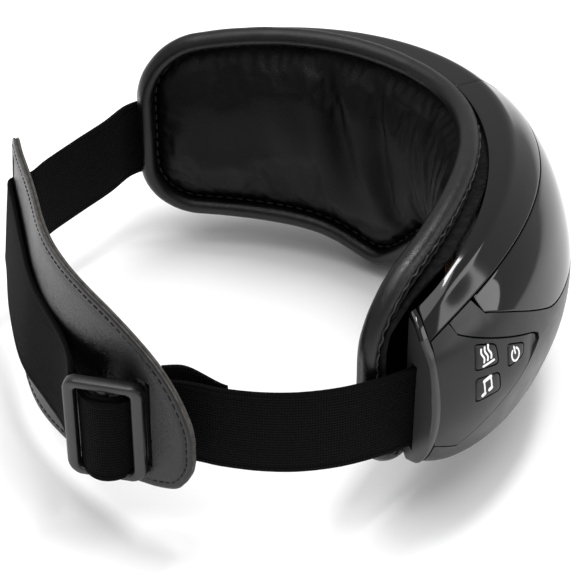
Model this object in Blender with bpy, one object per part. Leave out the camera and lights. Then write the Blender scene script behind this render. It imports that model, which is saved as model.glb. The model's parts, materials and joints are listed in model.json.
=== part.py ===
"""Eye massager mask: a curved housing worn over the eyes, a padded leather cushion behind it,
and an elastic head strap with a leather head pad and a sliding buckle.

Frame: metres, +Z up, the wearer faces -Y, the strap is on the +Y side, the buttons are on -X.
Everything on the mask is laid out along one plan curve, the rim of the cushion:
  t  angle along the rim, 0 at the nose and +-90 degrees at the temples,
  n  distance outward from the rim, towards the front of the housing,
  z  height above the surface that the mask stands on.
All lengths below are in millimetres and become metres when a mesh is made.
"""
import math

import bmesh
import bpy
from mathutils import Matrix, Vector

MM = 0.001

# ---------------------------------------------------------------- driving dimensions
RIM_HALF_WIDTH = 77.0        # half the cushion's width, temple to temple
RIM_DEPTH = 70.2             # from the temples forward to the nose
RIM_POWER_X = 1.038
RIM_POWER_Y = 1.652
TEMPLE_Y = 14.0              # the temples' place in the part's frame
END_ANGLE = 73.5             # where the housing's skin ends, in degrees along the rim
PROFILE_ANGLE = 76.0         # where the last profile of the list below applies
SQUARE_FROM = 54.0           # the housing's end is squared off across the mask from this angle on
SQUARE_DEPTH = 17.0          # n beyond which the end needs no squaring
GAP = 0.4                    # running gap between neighbouring pieces
WALL = 1.6                   # housing wall
PIPING_RADIUS = 2.6
CUSHION_CORNER = 20.0        # rounded ends of the cushion
WEBBING_WIDTH = 28.0
WEBBING_THICK = 1.4
WEBBING_LOW = 26.6           # lower edge of the webbing at the temples
LEATHER_THICK = 2.4
BUTTON_TRAVEL = 0.8

# The housing's outer profile. Each row gives (n, z) at the nose, at 0.6 of PROFILE_ANGLE and at it.
PROFILE = (
    ((2.3, 83.4), (7.2, 80.0), (4.0, 69.2)),      # inner edge of the top cover
    ((11.0, 83.6), (11.2, 79.4), (7.6, 68.6)),    # ridge of the top cover
    ((21.0, 74.5), (17.0, 72.0), (12.4, 64.2)),   # joint between top cover and visor
    ((27.5, 62.0), (24.5, 61.5), (15.5, 60.0)),
    ((31.0, 46.0), (29.5, 46.0), (17.0, 46.0)),   # waist, the widest line
    ((29.5, 28.0), (27.5, 31.0), (16.0, 34.0)),
    ((22.0, 14.0), (21.5, 17.0), (11.5, 24.5)),   # turn into the underside
    ((8.0, 8.0), (10.0, 12.0), (6.0, 20.0)),      # inner edge of the underside
)
RIDGE_ROW = 1
VISOR_ROW = 2
STEPS_PER_ROW = 2

# Outlines on the housing's side, as (degrees along the rim, z).
PANEL_TOP = ((47.2, 50.0), (48.6, 51.8), (66.0, 64.9), (67.2, 72.0), (79.0, 69.0))
PANEL_BASE = ((47.2, 48.0), (48.9, 46.2), (67.2, 27.7), (73.5, 31.5), (79.0, 43.0))
HEAT_OUTLINE = ((63.7, 61.0), (58.6, 57.7), (59.1, 51.7), (65.4, 53.7))
MUSIC_OUTLINE = ((65.6, 51.7), (59.4, 49.7), (59.4, 43.3), (66.0, 43.9))
POWER_OUTLINE = ((56.2, 55.4), (51.6, 51.8), (52.7, 48.2), (57.4, 48.6))

# The visor's lower edge, as (degrees along the rim, z).
VISOR_EDGE = ((0.0, 43.0), (18.0, 45.5), (30.0, 48.0), (37.0, 49.5), (41.0, 51.2), (52.0, 61.4), (58.0, 66.0))
VISOR_END = 58.0

# Strap plan points (x, y from the temples), from the temples to the back of the head.
STRAP_RIGHT = ((-80.2, -18.0), (-80.6, -10.0), (-80.8, -3.0), (-79.6, 8.0), (-76.2, 19.0), (-71.2, 28.5),
               (-65.0, 37.0), (-60.2, 42.0), (-56.6, 46.4), (-55.0, 50.2), (-54.3, 53.6))
STRAP_LEFT = ((80.2, -18.0), (80.6, -10.0), (80.7, -3.0), (79.4, 3.5), (74.0, 12.5), (68.2, 24.6),
              (61.8, 37.0), (57.8, 43.0), (56.6, 46.6), (56.0, 50.2))
STRAP_TAIL = ((-63.4, 35.0), (-60.4, 37.6), (-57.4, 40.8), (-54.6, 44.8), (-52.8, 48.8))
OUTER_TOP = ((54.0, 52.3), (43.0, 55.2), (19.0, 61.2), (5.0, 64.0), (-8.0, 64.9), (-20.0, 65.3),
             (-30.0, 66.8), (-37.4, 69.4))
OUTER_BASE = ((55.6, 54.8), (46.0, 58.2), (30.0, 63.6), (12.0, 68.2), (0.0, 69.8), (-14.0, 69.2),
              (-27.0, 68.8), (-37.0, 70.8))

# The head pad: (x, y, lower edge z, upper edge z) along its foot, and its lean at the top.
PAD_PLAN = ((65.6, 48.2, 50.0, 56.0), (63.8, 49.0, 43.0, 62.5), (59.0, 51.0, 37.0, 65.5),
            (50.0, 54.6, 29.5, 66.8), (38.0, 58.6, 22.0, 67.8), (24.0, 62.8, 16.5, 69.0),
            (10.0, 66.0, 13.2, 70.2), (-3.0, 66.9, 12.0, 71.2), (-16.0, 65.6, 12.0, 71.8),
            (-28.0, 62.9, 12.4, 71.6), (-40.0, 59.0, 14.0, 69.8), (-50.0, 55.2, 16.8, 66.2),
            (-58.0, 52.0, 19.6, 61.4), (-64.0, 49.4, 23.2, 54.6), (-67.4, 47.6, 29.4, 47.2),
            (-68.4, 47.0, 34.0, 42.0))
PAD_FOOT = 12.0
PAD_HEIGHT = 58.0
FAR_SLOT_X = 55.2
NEAR_SLOT_X = -54.3

BUCKLE_CENTRE = (-47.7, 64.4, 37.0)
BUCKLE_TANGENT = (-0.64, -0.77)
BUCKLE_SIZE = (23.0, 33.4, 3.6)      # along the webbing, height, thickness
BUCKLE_WINDOW = 6.4
BUCKLE_WINDOW_AT = 5.2
BUTTON_DEPTH = 3.4


# ---------------------------------------------------------------- scene helpers
def clear_scene():
    for item in list(bpy.data.objects):
        bpy.data.objects.remove(item, do_unlink=True)


def material(name, colour, roughness, metallic=0.0):
    mat = bpy.data.materials.new(name)
    mat.use_nodes = True
    shader = mat.node_tree.nodes["Principled BSDF"]
    shader.inputs["Base Color"].default_value = (*colour, 1.0)
    shader.inputs["Roughness"].default_value = roughness
    shader.inputs["Metallic"].default_value = metallic
    return mat


def add_object(name, mesh, mat):
    item = bpy.data.objects.new(name, mesh)
    bpy.context.scene.collection.objects.link(item)
    if mat is not None:
        mesh.materials.append(mat)
    return item


def mesh_from_faces(name, points, faces, mat, smooth=True):
    """A closed mesh from points in millimetres, with its faces turned outward."""
    mesh = bpy.data.meshes.new(name)
    mesh.from_pydata([Vector(p) * MM for p in points], [], faces)
    work = bmesh.new()
    work.from_mesh(mesh)
    bmesh.ops.recalc_face_normals(work, faces=work.faces)
    work.to_mesh(mesh)
    work.free()
    item = add_object(name, mesh, mat)
    if smooth:
        mesh.shade_smooth()
        mesh.set_sharp_from_angle(angle=math.radians(35))
    return item


def loft(name, rings, mat, closed=False):
    """Skin over a list of rings with the same count of points, capped unless it closes on itself."""
    count = len(rings[0])
    points = [p for ring in rings for p in ring]
    faces = []
    spans = len(rings) if closed else len(rings) - 1
    for i in range(spans):
        a = i * count
        b = ((i + 1) % len(rings)) * count
        for j in range(count):
            k = (j + 1) % count
            faces.append((a + j, a + k, b + k, b + j))
    if not closed:
        faces.append(tuple(range(count)))
        faces.append(tuple(range(len(points) - count, len(points))))
    return mesh_from_faces(name, points, faces, mat)


def local_matrix(t, n, z):
    """A frame on the rim at angle t: X along the rim, Y outward, Z up."""
    nx, ny = rim_normal(t)
    side = Vector((-ny, nx, 0.0))
    matrix = Matrix((side, (nx, ny, 0.0), (0.0, 0.0, 1.0))).transposed().to_4x4()
    matrix.translation = Vector(place(t, n, z)) * MM
    return matrix


def box(name, matrix, size, mat, bevel=0.0):
    mesh = bpy.data.meshes.new(name)
    work = bmesh.new()
    bmesh.ops.create_cube(work, size=1.0)
    bmesh.ops.scale(work, vec=Vector(size) * MM, verts=work.verts)
    if bevel:
        bmesh.ops.bevel(work, geom=work.edges, offset=bevel * MM, segments=1, affect="EDGES")
    work.to_mesh(mesh)
    work.free()
    item = add_object(name, mesh, mat)
    item.matrix_world = matrix
    return item


def cylinder(name, matrix, radius, length, mat, sides=16, axis="Y"):
    """A round bar centred on the matrix, along its X, Y or Z axis."""
    mesh = bpy.data.meshes.new(name)
    work = bmesh.new()
    bmesh.ops.create_cone(work, cap_ends=True, segments=sides, radius1=radius * MM,
                          radius2=radius * MM, depth=length * MM)
    turn = {"X": Matrix.Rotation(math.pi / 2, 3, "Y"), "Y": Matrix.Rotation(-math.pi / 2, 3, "X"),
            "Z": Matrix.Identity(3)}[axis]
    bmesh.ops.rotate(work, cent=(0, 0, 0), matrix=turn, verts=work.verts)
    work.to_mesh(mesh)
    work.free()
    item = add_object(name, mesh, mat)
    item.matrix_world = matrix
    mesh.shade_smooth()
    mesh.set_sharp_from_angle(angle=math.radians(35))
    return item


def cut(item, cutter, operation="DIFFERENCE"):
    modifier = item.modifiers.new("cut", "BOOLEAN")
    modifier.operation = operation
    modifier.solver = "EXACT"
    modifier.object = cutter
    cutter.hide_render = True
    cutter.display_type = "WIRE"


def cutter_box(name, matrix, size):
    return box(name, matrix, size, None)


# ---------------------------------------------------------------- plan curve
def rim(t):
    """Plan point of the cushion's rim at t radians, y measured from the temples."""
    s = math.sin(t)
    c = max(math.cos(t), 0.0)
    return RIM_HALF_WIDTH * math.copysign(abs(s) ** RIM_POWER_X, s), -RIM_DEPTH * c ** RIM_POWER_Y


def rim_normal(t):
    step = 0.001
    x0, y0 = rim(max(t - step, -math.pi / 2))
    x1, y1 = rim(min(t + step, math.pi / 2))
    length = math.hypot(x1 - x0, y1 - y0)
    return (y1 - y0) / length, -(x1 - x0) / length


def place(t, n, z):
    x, y = rim(t)
    nx, ny = rim_normal(t)
    return x + n * nx, y + n * ny + TEMPLE_Y, z


ARC_STEPS = 360


def arc_table():
    """Distances along the rim from the nose to the temple, one for each quarter degree."""
    table = [0.0]
    last = rim(0.0)
    for i in range(1, ARC_STEPS + 1):
        here = rim(math.radians(90.0 * i / ARC_STEPS))
        table.append(table[-1] + math.dist(last, here))
        last = here
    return table


ARC = arc_table()
RIM_ARC = ARC[-1]


def angle_at(arc):
    """Angle t, in radians, at a signed distance along the rim from the nose."""
    goal = min(abs(arc), RIM_ARC)
    for i in range(ARC_STEPS):
        if ARC[i + 1] >= goal:
            part = (goal - ARC[i]) / (ARC[i + 1] - ARC[i])
            return math.copysign(math.radians(90.0 * (i + part) / ARC_STEPS), arc)
    return math.copysign(math.pi / 2, arc)


def arc_at(t):
    where = min(abs(math.degrees(t)) * ARC_STEPS / 90.0, ARC_STEPS - 0.001)
    i = int(where)
    return math.copysign(ARC[i] + (where - i) * (ARC[i + 1] - ARC[i]), t)


# ---------------------------------------------------------------- heights along the rim
def bump(x, centre, width):
    return math.exp(-((abs(x) - centre) / width) ** 2)


def cheek(x):
    """How far the lower edge drops at the cheeks and rises over the nose."""
    return 13.0 * bump(x, 0.0, 14.0) - 6.4 * bump(x, 25.5, 12.5)


def rim_top(t):
    u = abs(rim(t)[0]) / RIM_HALF_WIDTH
    return 85.65 + 7.03 * u * u - 15.88 * u ** 4


def rim_base(t):
    x = rim(t)[0]
    u = abs(x) / RIM_HALF_WIDTH
    return 11.2 + 3.0 * u * u + cheek(x)


# ---------------------------------------------------------------- housing profile
def even_curve(f0, f1, f2, s):
    """Even curve in s through f0 at 0, f1 at 0.6 and f2 at 1."""
    m = 0.36
    b = ((f1 - f0) / m - (f2 - f0)) / (m - 1.0)
    a = (f2 - f0) - b
    return f0 + a * s * s + b * s ** 4


def profile_rows(t):
    s = abs(math.degrees(t)) / PROFILE_ANGLE
    rows = [tuple(even_curve(row[0][i], row[1][i], row[2][i], s) for i in (0, 1)) for row in PROFILE]
    drop = cheek(rim(t)[0])
    rows[-2] = (rows[-2][0], rows[-2][1] + 0.7 * drop)
    rows[-1] = (rows[-1][0], max(rows[-1][1] + 1.6 * drop, 0.0))
    return rows


def profile(t):
    """The outer profile at t as (n, z) points, smooth below the ridge."""
    rows = [Vector(row) for row in profile_rows(t)]
    points = []
    for i in range(len(rows) - 1):
        p1, p2 = rows[i], rows[i + 1]
        p0 = rows[i - 1] if i > RIDGE_ROW else 2 * p1 - p2
        smooth_end = i + 2 < len(rows) and i + 1 != RIDGE_ROW
        p3 = rows[i + 2] if smooth_end else 2 * p2 - p1
        for j in range(STEPS_PER_ROW):
            u = j / STEPS_PER_ROW
            points.append(0.5 * (2 * p1 + (p2 - p0) * u + (2 * p0 - 5 * p1 + 4 * p2 - p3) * u * u
                                 + (3 * p1 - p0 - 3 * p2 + p3) * u ** 3))
    points.append(rows[-1])
    for point in points:
        point.y = max(point.y, 0.0)
    return points


def along(points, distance):
    """The point at a distance along a polyline, with its inward side."""
    for i in range(len(points) - 1):
        span = points[i + 1] - points[i]
        if distance <= span.length or i == len(points) - 2:
            way = span.normalized()
            return points[i] + way * distance, Vector((way.y, -way.x))
        distance -= span.length
    return points[-1], Vector((0.0, 0.0))


def length_to_row(points, row):
    return sum((points[i + 1] - points[i]).length for i in range(row * STEPS_PER_ROW))


def length_to_height(points, z):
    """Distance along the profile to where it first drops to height z past the ridge."""
    total = length_to_row(points, RIDGE_ROW)
    z = min(z, points[RIDGE_ROW * STEPS_PER_ROW].y)
    for i in range(RIDGE_ROW * STEPS_PER_ROW, len(points) - 1):
        span = (points[i + 1] - points[i]).length
        if points[i + 1].y <= z <= points[i].y:
            return total + span * (points[i].y - z) / (points[i].y - points[i + 1].y)
        total += span
    return total


def place_housing(t, n, z):
    """place() for the housing: near the temples the inner side stops short, so the end is square."""
    share = min(1.0, max(0.0, (abs(math.degrees(t)) - SQUARE_FROM) / (END_ANGLE - SQUARE_FROM)))
    share = share * share * (3.0 - 2.0 * share)
    short = math.radians(0.205 * share * max(0.0, SQUARE_DEPTH - n) ** 1.3)
    return place(math.copysign(abs(t) - short, t), n, z)


def skin(t, z, depth=0.0):
    """The point at height z on the housing's side, depth inward."""
    points = profile(t)
    point, inward = along(points, length_to_height(points, z))
    return place_housing(t, point.x + inward.x * depth, point.y + inward.y * depth)


def angles(start, end, step=4.5):
    """Evenly spaced angles in radians between two values in degrees."""
    count = max(2, round(abs(end - start) / step) + 1)
    return [math.radians(start + (end - start) * i / (count - 1)) for i in range(count)]


def shell_patch(name, stations, low, high, rows, mat, depth=0.0, wall=WALL):
    """A piece of the housing's skin. low and high give distances along the profile at t."""
    rings = []
    for t in stations:
        points = profile(t)
        start, end = low(t, points), high(t, points)
        outer, inner = [], []
        for j in range(rows + 1):
            point, inward = along(points, start + (end - start) * j / rows)
            outer.append(place_housing(t, *(point + inward * depth)))
            inner.append(place_housing(t, *(point + inward * (depth + wall))))
        rings.append(outer + inner[::-1])
    return loft(name, rings, mat)


def visor_edge(t):
    """Height of the visor's lower edge."""
    return edge_height(VISOR_EDGE, abs(math.degrees(t)))


# ---------------------------------------------------------------- materials
def make_materials():
    return {
        "gloss": material("gloss_black", (0.012, 0.012, 0.013), 0.12),
        "visor": material("visor_black", (0.008, 0.008, 0.009), 0.06),
        "satin": material("satin_black", (0.03, 0.03, 0.032), 0.32),
        "frame": material("frame_black", (0.02, 0.02, 0.02), 0.5),
        "leather": material("cushion_leather", (0.015, 0.015, 0.016), 0.42),
        "piping": material("piping_leather", (0.02, 0.02, 0.022), 0.35),
        "textile": material("skirt_textile", (0.02, 0.02, 0.02), 0.9),
        "webbing": material("elastic_webbing", (0.012, 0.012, 0.013), 0.9),
        "pad": material("pad_leather", (0.03, 0.03, 0.032), 0.45),
        "buckle": material("buckle_plastic", (0.03, 0.03, 0.03), 0.45),
        "board": material("circuit_board", (0.02, 0.12, 0.05), 0.5),
        "cell": material("battery_wrap", (0.1, 0.1, 0.35), 0.4),
        "steel": material("steel", (0.6, 0.6, 0.6), 0.3, 1.0),
        "copper": material("heater_film", (0.65, 0.35, 0.12), 0.45),
        "bladder": material("airbag_film", (0.5, 0.5, 0.52), 0.4),
        "rubber": material("air_tube_rubber", (0.75, 0.75, 0.72), 0.6),
    }


# ---------------------------------------------------------------- housing
def button_cutter(name, outline, scale, depth_in, depth_out):
    """A prism through the housing's side over an outline, along one straight direction."""
    middle_t = math.radians(-sum(p[0] for p in outline) / len(outline))
    middle_z = sum(p[1] for p in outline) / len(outline)
    way = button_axis(outline)
    centre = Vector(skin(middle_t, middle_z))
    ring = []
    for angle, z in outline:
        point = centre + (Vector(skin(math.radians(-angle), z)) - centre) * scale
        ring.append(point - way * (point - centre).dot(way))
    near = [tuple(p - way * depth_out) for p in ring]
    far = [tuple(p + way * depth_in) for p in ring]
    return loft(name, [near, far], None)


def button_axis(outline):
    """Unit vector into the housing at the middle of an outline, the way a button travels."""
    t = math.radians(-sum(p[0] for p in outline) / len(outline))
    z = sum(p[1] for p in outline) / len(outline)
    return (Vector(skin(t, z, 1.0)) - Vector(skin(t, z))).normalized()


def edge_height(edge, angle):
    """Height of a bent line of (degrees, z) points at an angle."""
    for (a0, z0), (a1, z1) in zip(edge, edge[1:]):
        if angle <= a1:
            return z0 + (z1 - z0) * (angle - a0) / (a1 - a0)
    return edge[-1][1]


def panel_cutter(name, side):
    """A curved block through the housing's wall over the side panel's outline."""
    rings = []
    for angle in (47.2, 48.8, 52.0, 56.0, 60.0, 63.5, 66.0, 67.2, 70.5, 73.5, 76.0, 79.0):
        t = math.radians(side * angle)
        top, base = edge_height(PANEL_TOP, angle), edge_height(PANEL_BASE, angle)
        heights = [top + (base - top) * i / 5 for i in range(6)]
        rings.append([skin(t, z, -2.0) for z in heights] + [skin(t, z, 3.4) for z in heights[::-1]])
    return loft(name, rings, None)


def side_panel(name, side, mat):
    """The panel in the housing's side: the skin inside the panel's outline."""
    stations = [math.radians(side * a) for a in (47.8, 49.4, 52.0, 55.0, 58.0, 61.0, 63.9, 66.4, 67.6,
                                                 70.5, END_ANGLE)]

    def top(t, points):
        border = length_to_row(points, VISOR_ROW) + GAP
        height = edge_height(PANEL_TOP, abs(math.degrees(t)) - GAP)
        return max(border, length_to_height(points, height) + GAP)

    def base(t, points):
        return length_to_height(points, edge_height(PANEL_BASE, abs(math.degrees(t)))) - GAP

    return shell_patch(name, stations, top, base, 9, mat, wall=1.8)


def build_housing(mats):
    """The glossy covers, the visor, the lower shell and the two side panels."""
    for side, word in ((-1, "right"), (1, "left")):
        shell_patch("top_cover_" + word, angles(side * 0.15, side * END_ANGLE), lambda t, p: 0.0,
                    lambda t, p: length_to_row(p, VISOR_ROW), 2 * STEPS_PER_ROW, mats["gloss"])

    shell_patch("front_visor", angles(-VISOR_END, VISOR_END), lambda t, p: length_to_row(p, VISOR_ROW) + GAP,
                lambda t, p: length_to_height(p, visor_edge(t)), 4, mats["visor"])

    def shell_top(t, points):
        if abs(math.degrees(t)) > VISOR_END + 0.1:
            return length_to_row(points, VISOR_ROW) + GAP
        return length_to_height(points, visor_edge(t)) + GAP

    def shell_end(t, points):
        return length_to_row(points, len(PROFILE) - 1)

    outer_ends = angles(VISOR_END + 0.5, END_ANGLE, 3.0)
    stations = [-t for t in outer_ends[::-1]] + angles(-VISOR_END, VISOR_END) + outer_ends
    front = shell_patch("front_shell", stations, shell_top, shell_end, 10, mats["satin"])
    for side in (-1, 1):
        cut(front, panel_cutter("panel_opening_%d" % side, side))

    side_panel("side_panel_left", 1, mats["satin"])
    panel = side_panel("control_panel_right", -1, mats["satin"])
    for name, outline in (("heat_button", HEAT_OUTLINE), ("music_button", MUSIC_OUTLINE),
                          ("power_button", POWER_OUTLINE)):
        cut(panel, button_cutter(name + "_hole", outline, 1.0, 8.0, 4.0))
        stations = angles(-45.0, -70.0, 2.5)
        button = shell_patch(name, stations, lambda t, p: length_to_height(p, 64.0),
                             lambda t, p: length_to_height(p, 40.0), 8, mats["satin"], depth=-0.1, wall=BUTTON_DEPTH)
        cut(button, button_cutter(name + "_edge", outline, 0.92, 8.0, 4.0), "INTERSECT")


def end_section(t, shrink, shift):
    """The housing's closed outline at t, moved along the rim by shift."""
    nx, ny = rim_normal(t)
    tangent = Vector((-ny, nx)) * math.copysign(1.0, t)
    points = profile(t)
    total = length_to_row(points, len(PROFILE) - 1)
    ring = []
    for j in range(13):
        point, inward = along(points, total * j / 12)
        ring.append(point + inward * shrink)
    ring.append(Vector((ring[-1].x - 1.0, ring[-1].y + 1.0)))
    ring.append(Vector((ring[0].x, ring[0].y - 2.0)))
    result = []
    for point in ring:
        x, y, z = place_housing(t, point.x, point.y)
        result.append((x + tangent.x * shift, y + tangent.y * shift, z))
    return result


def build_ends(mats):
    """The walls that close the housing at the temples, slotted for the webbing, and the strap pins."""
    slot_height = WEBBING_WIDTH + 2.0
    middle = WEBBING_LOW + WEBBING_WIDTH / 2
    for side, word in ((-1, "right"), (1, "left")):
        t = math.radians(side * END_ANGLE)
        rings = [end_section(t, 0.0, 0.8), end_section(t, 0.1, 1.8), end_section(t, 0.8, 2.8)]
        cap = loft("end_cap_" + word, rings, mats["gloss"])
        x, y = (STRAP_RIGHT if side < 0 else STRAP_LEFT)[0]
        matrix = Matrix.Translation(Vector((x, y + TEMPLE_Y, middle)) * MM)
        cut(cap, cutter_box("end_slot_" + word, matrix, (3.4, 24.0, slot_height)))
        pin = Matrix.Translation(Vector((side * 78.9, TEMPLE_Y - 21.4, middle)) * MM)
        cylinder("strap_pin_" + word, pin, 1.2, slot_height, mats["steel"], 10, "Z")


# ---------------------------------------------------------------- cushion
def outline_height(arc, inset):
    """Lower and upper edge of the cushion's outline at a distance along the rim."""
    t = angle_at(arc)
    corner = CUSHION_CORNER - inset
    past = abs(arc) - (RIM_ARC - inset - corner)
    drop = 0.0
    if past > 0.0:
        drop = corner - math.sqrt(max(corner * corner - past * past, 0.0))
    slope = rim_base(angle_at(arc + 0.5)) - rim_base(angle_at(arc - 0.5))
    return rim_base(t) + inset * math.hypot(1.0, slope) + drop, rim_top(t) - inset - drop


def outline_path(inset, count=22, corner_count=5):
    """The cushion's outline as (arc, z), once round, inset from its edge."""
    corner = CUSHION_CORNER - inset
    straight = RIM_ARC - inset - corner
    arcs = [straight * math.sin(math.radians(90.0 * i / (count // 2))) for i in range(count // 2)]
    arcs += [straight + corner * math.sin(math.radians(90.0 * i / corner_count))
             for i in range(corner_count + 1)]
    half = arcs[1:]
    sweep = [-a for a in half[::-1]] + [0.0] + half
    upper = [(a, outline_height(a, inset)[1]) for a in sweep]
    lower = [(a, outline_height(a, inset)[0]) for a in sweep[::-1]]
    return upper + lower


def build_cushion(mats):
    """The padded cushion, its piping, its textile skirt, the heating film and the airbags."""
    inset = 2 * PIPING_RADIUS + 1.0
    corner = CUSHION_CORNER - inset
    straight = RIM_ARC - inset - corner
    arcs = [straight * i / 14 for i in range(15)]
    arcs += [straight + corner * math.sin(math.radians(a)) for a in (25.0, 48.0, 68.0, 84.0)]
    arcs = [-a for a in arcs[:0:-1]] + arcs
    rings = []
    for arc in arcs:
        low, high = outline_height(arc, inset)
        t = angle_at(arc)
        middle, half = (low + high) / 2, (high - low) / 2
        fade = min(1.0, (RIM_ARC - inset - abs(arc)) / 14.0 + 0.15)
        puff = -1.6 - 6.0 * math.sqrt(fade)
        section = ((-0.3, 0.98), (-2.2, 1.0), (0.62 * puff - 0.6, 0.86), (0.95 * puff, 0.6), (puff, 0.0),
                   (0.95 * puff, -0.6), (0.62 * puff - 0.6, -0.86), (-2.2, -1.0), (-0.3, -0.98))
        rings.append([place(t, n, middle + half * v) for n, v in section])
    loft("face_cushion", rings, mats["leather"])

    ring_path = outline_path(PIPING_RADIUS)
    rings = []
    for i, (arc, z) in enumerate(ring_path):
        before, after = ring_path[i - 1], ring_path[(i + 1) % len(ring_path)]
        way = Vector((after[0] - before[0], after[1] - before[1])).normalized()
        ring = []
        for j in range(7):
            turn = 2 * math.pi * j / 7
            out = PIPING_RADIUS * math.cos(turn)
            ring.append(place(angle_at(arc - way.y * out), -1.5 + PIPING_RADIUS * math.sin(turn),
                              z + way.x * out))
        rings.append(ring)
    loft("cushion_piping", rings, mats["piping"], closed=True)

    outer_path, inner_path = outline_path(4.8), outline_path(5.8)
    rings = []
    for (arc, z), (arc_in, z_in) in zip(outer_path, inner_path):
        t, t_in = angle_at(arc), angle_at(arc_in)
        near_end = min(1.0, max(0.0, (abs(math.degrees(t)) - 55.0) / 12.0))
        reach = 5.0 * (1.0 - near_end) + 2.4 * near_end
        under_cover = profile_rows(t)[0][1] - WALL - 0.8
        z, z_in = min(z, under_cover), min(z_in, under_cover - 1.0)
        rings.append([place(t, 1.6, z), place(t, reach, z), place(t_in, reach, z_in),
                      place(t_in, 1.6, z_in)])
    loft("cushion_skirt", rings, mats["textile"], closed=True)


def back_patch(name, start, end, near, far, low, high, mat, step=5.0, rows=4):
    """A curved sheet behind the cushion between n = near and n = far."""
    rings = []
    for t in angles(start, end, step):
        z0, z1 = low(t), high(t)
        heights = [z0 + (z1 - z0) * j / rows for j in range(rows + 1)]
        rings.append([place(t, near, z) for z in heights] + [place(t, far, z) for z in heights[::-1]])
    return loft(name, rings, mat)


def build_back(mats):
    back_patch("heating_film", -48.0, 48.0, 0.4, 0.9, lambda t: rim_base(t) + 14.0,
               lambda t: rim_top(t) - 14.0, mats["copper"], 6.0, 2)
    for side, word in ((-1, "right"), (1, "left")):
        back_patch("airbag_" + word, side * 9.0, side * 44.0, 1.6, 4.4, lambda t: rim_base(t) + 16.0,
                   lambda t: rim_top(t) - 16.0, mats["bladder"], 5.0, 2)
    return back_patch("rear_frame", -66.0, 66.0, 5.6, 7.4, lambda t: rim_base(t) + 7.5,
               lambda t: min(rim_top(t), profile_rows(t)[0][1]) - 5.0, mats["frame"])


# ---------------------------------------------------------------- head strap
def smooth_path(points, count):
    """Evenly spread points on a smooth curve through the given plan points."""
    fine = []
    for i in range(len(points) - 1):
        p1, p2 = Vector(points[i]), Vector(points[i + 1])
        p0 = Vector(points[i - 1]) if i else 2 * p1 - p2
        p3 = Vector(points[i + 2]) if i + 2 < len(points) else 2 * p2 - p1
        for j in range(12):
            u = j / 12
            fine.append(0.5 * (2 * p1 + (p2 - p0) * u + (2 * p0 - 5 * p1 + 4 * p2 - p3) * u * u
                               + (3 * p1 - p0 - 3 * p2 + p3) * u ** 3))
    fine.append(Vector(points[-1]))
    total = sum((b - a).length for a, b in zip(fine, fine[1:]))
    return [along(fine, total * i / (count - 1))[0] for i in range(count)]


def side_of(path, i):
    """Unit vector across a plan path at point i."""
    way = (path[min(i + 1, len(path) - 1)] - path[max(i - 1, 0)]).normalized()
    return Vector((way.y, -way.x))


def ribbon(name, points, low, high, thick, mat, count=24, offset=0.0):
    """A flat band standing on edge along a plan path."""
    path = smooth_path(points, count)
    rings = []
    for i, point in enumerate(path):
        across = side_of(path, i)
        ring = []
        for shift, z in ((-0.5, low), (0.5, low), (0.5, high), (-0.5, high)):
            spot = point + across * (offset + shift * thick)
            ring.append((spot.x, spot.y + TEMPLE_Y, z))
        rings.append(ring)
    return loft(name, rings, mat)


def pad_lean(x):
    """How far the head pad leans towards the head at its top."""
    return 8.0 * math.exp(-((x - 20.0) / 46.0) ** 2)


def build_head_pad(mats):
    """The leather pad for the back of the head, leaning inward at the top, with a slot at each end."""
    count = 33
    steps = 161
    path = smooth_path([row[:2] for row in PAD_PLAN], steps)
    lows = smooth_path([(row[0], row[2]) for row in PAD_PLAN], steps)
    highs = smooth_path([(row[0], row[3]) for row in PAD_PLAN], steps)
    rings = []
    for i in range(count):
        spread = 0.5 - 0.5 * math.cos(math.pi * i / (count - 1))
        k = round(spread * (steps - 1))
        across = side_of(path, k) * LEATHER_THICK / 2
        x = path[k].x
        low = min(lows, key=lambda p: abs(p.x - x)).y
        high = min(highs, key=lambda p: abs(p.x - x)).y
        outer, inner = [], []
        for j in range(4):
            z = low + (high - low) * j / 3
            lean = pad_lean(x) * (z - PAD_FOOT) / PAD_HEIGHT
            y = path[k].y - lean + TEMPLE_Y
            outer.append((x - across.x, y - across.y, z))
            inner.append((x + across.x, y + across.y, z))
        rings.append(outer + inner[::-1])
    pad = loft("head_pad", rings, mats["pad"])
    for name, x, y, z, tall in (("far_slot", FAR_SLOT_X, 50.4, 47.0, 31.0),
                                ("near_slot", NEAR_SLOT_X, 53.4, 40.4, 29.6)):
        matrix = Matrix.Translation(Vector((x, y + TEMPLE_Y, z)) * MM)
        matrix = matrix @ Matrix.Rotation(math.radians(math.copysign(22.0, x)), 4, "Z")
        cut(pad, cutter_box(name, matrix, (4.4, 14.0, tall)))


def leaning_ribbon(name, top, base, low, high, mat, count=22):
    """A flat band whose upper and lower edges follow their own plan paths.
    low and high give the edges' heights at u from 0 to 1."""
    upper, lower = smooth_path(top, count), smooth_path(base, count)
    rings = []
    for i in range(count):
        u = i / (count - 1)
        shift = (side_of(upper, i) + side_of(lower, i)).normalized() * WEBBING_THICK / 2
        ring = []
        for point, z in ((lower[i], low(u)), (upper[i], high(u))):
            ring.append((point.x + shift.x, point.y + shift.y + TEMPLE_Y, z))
        for point, z in ((upper[i], high(u)), (lower[i], low(u))):
            ring.append((point.x - shift.x, point.y - shift.y + TEMPLE_Y, z))
        rings.append(ring)
    return loft(name, rings, mat)


def buckle_matrix():
    """The buckle's frame: X along the webbing, Y outward from the head, Z up."""
    way = Vector((*BUCKLE_TANGENT, 0.0)).normalized()
    out = Vector((way.y, -way.x, 0.0))
    matrix = Matrix((way, out, Vector((0.0, 0.0, 1.0)))).transposed().to_4x4()
    matrix.translation = Vector((BUCKLE_CENTRE[0], BUCKLE_CENTRE[1] + TEMPLE_Y, BUCKLE_CENTRE[2])) * MM
    return matrix


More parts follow.
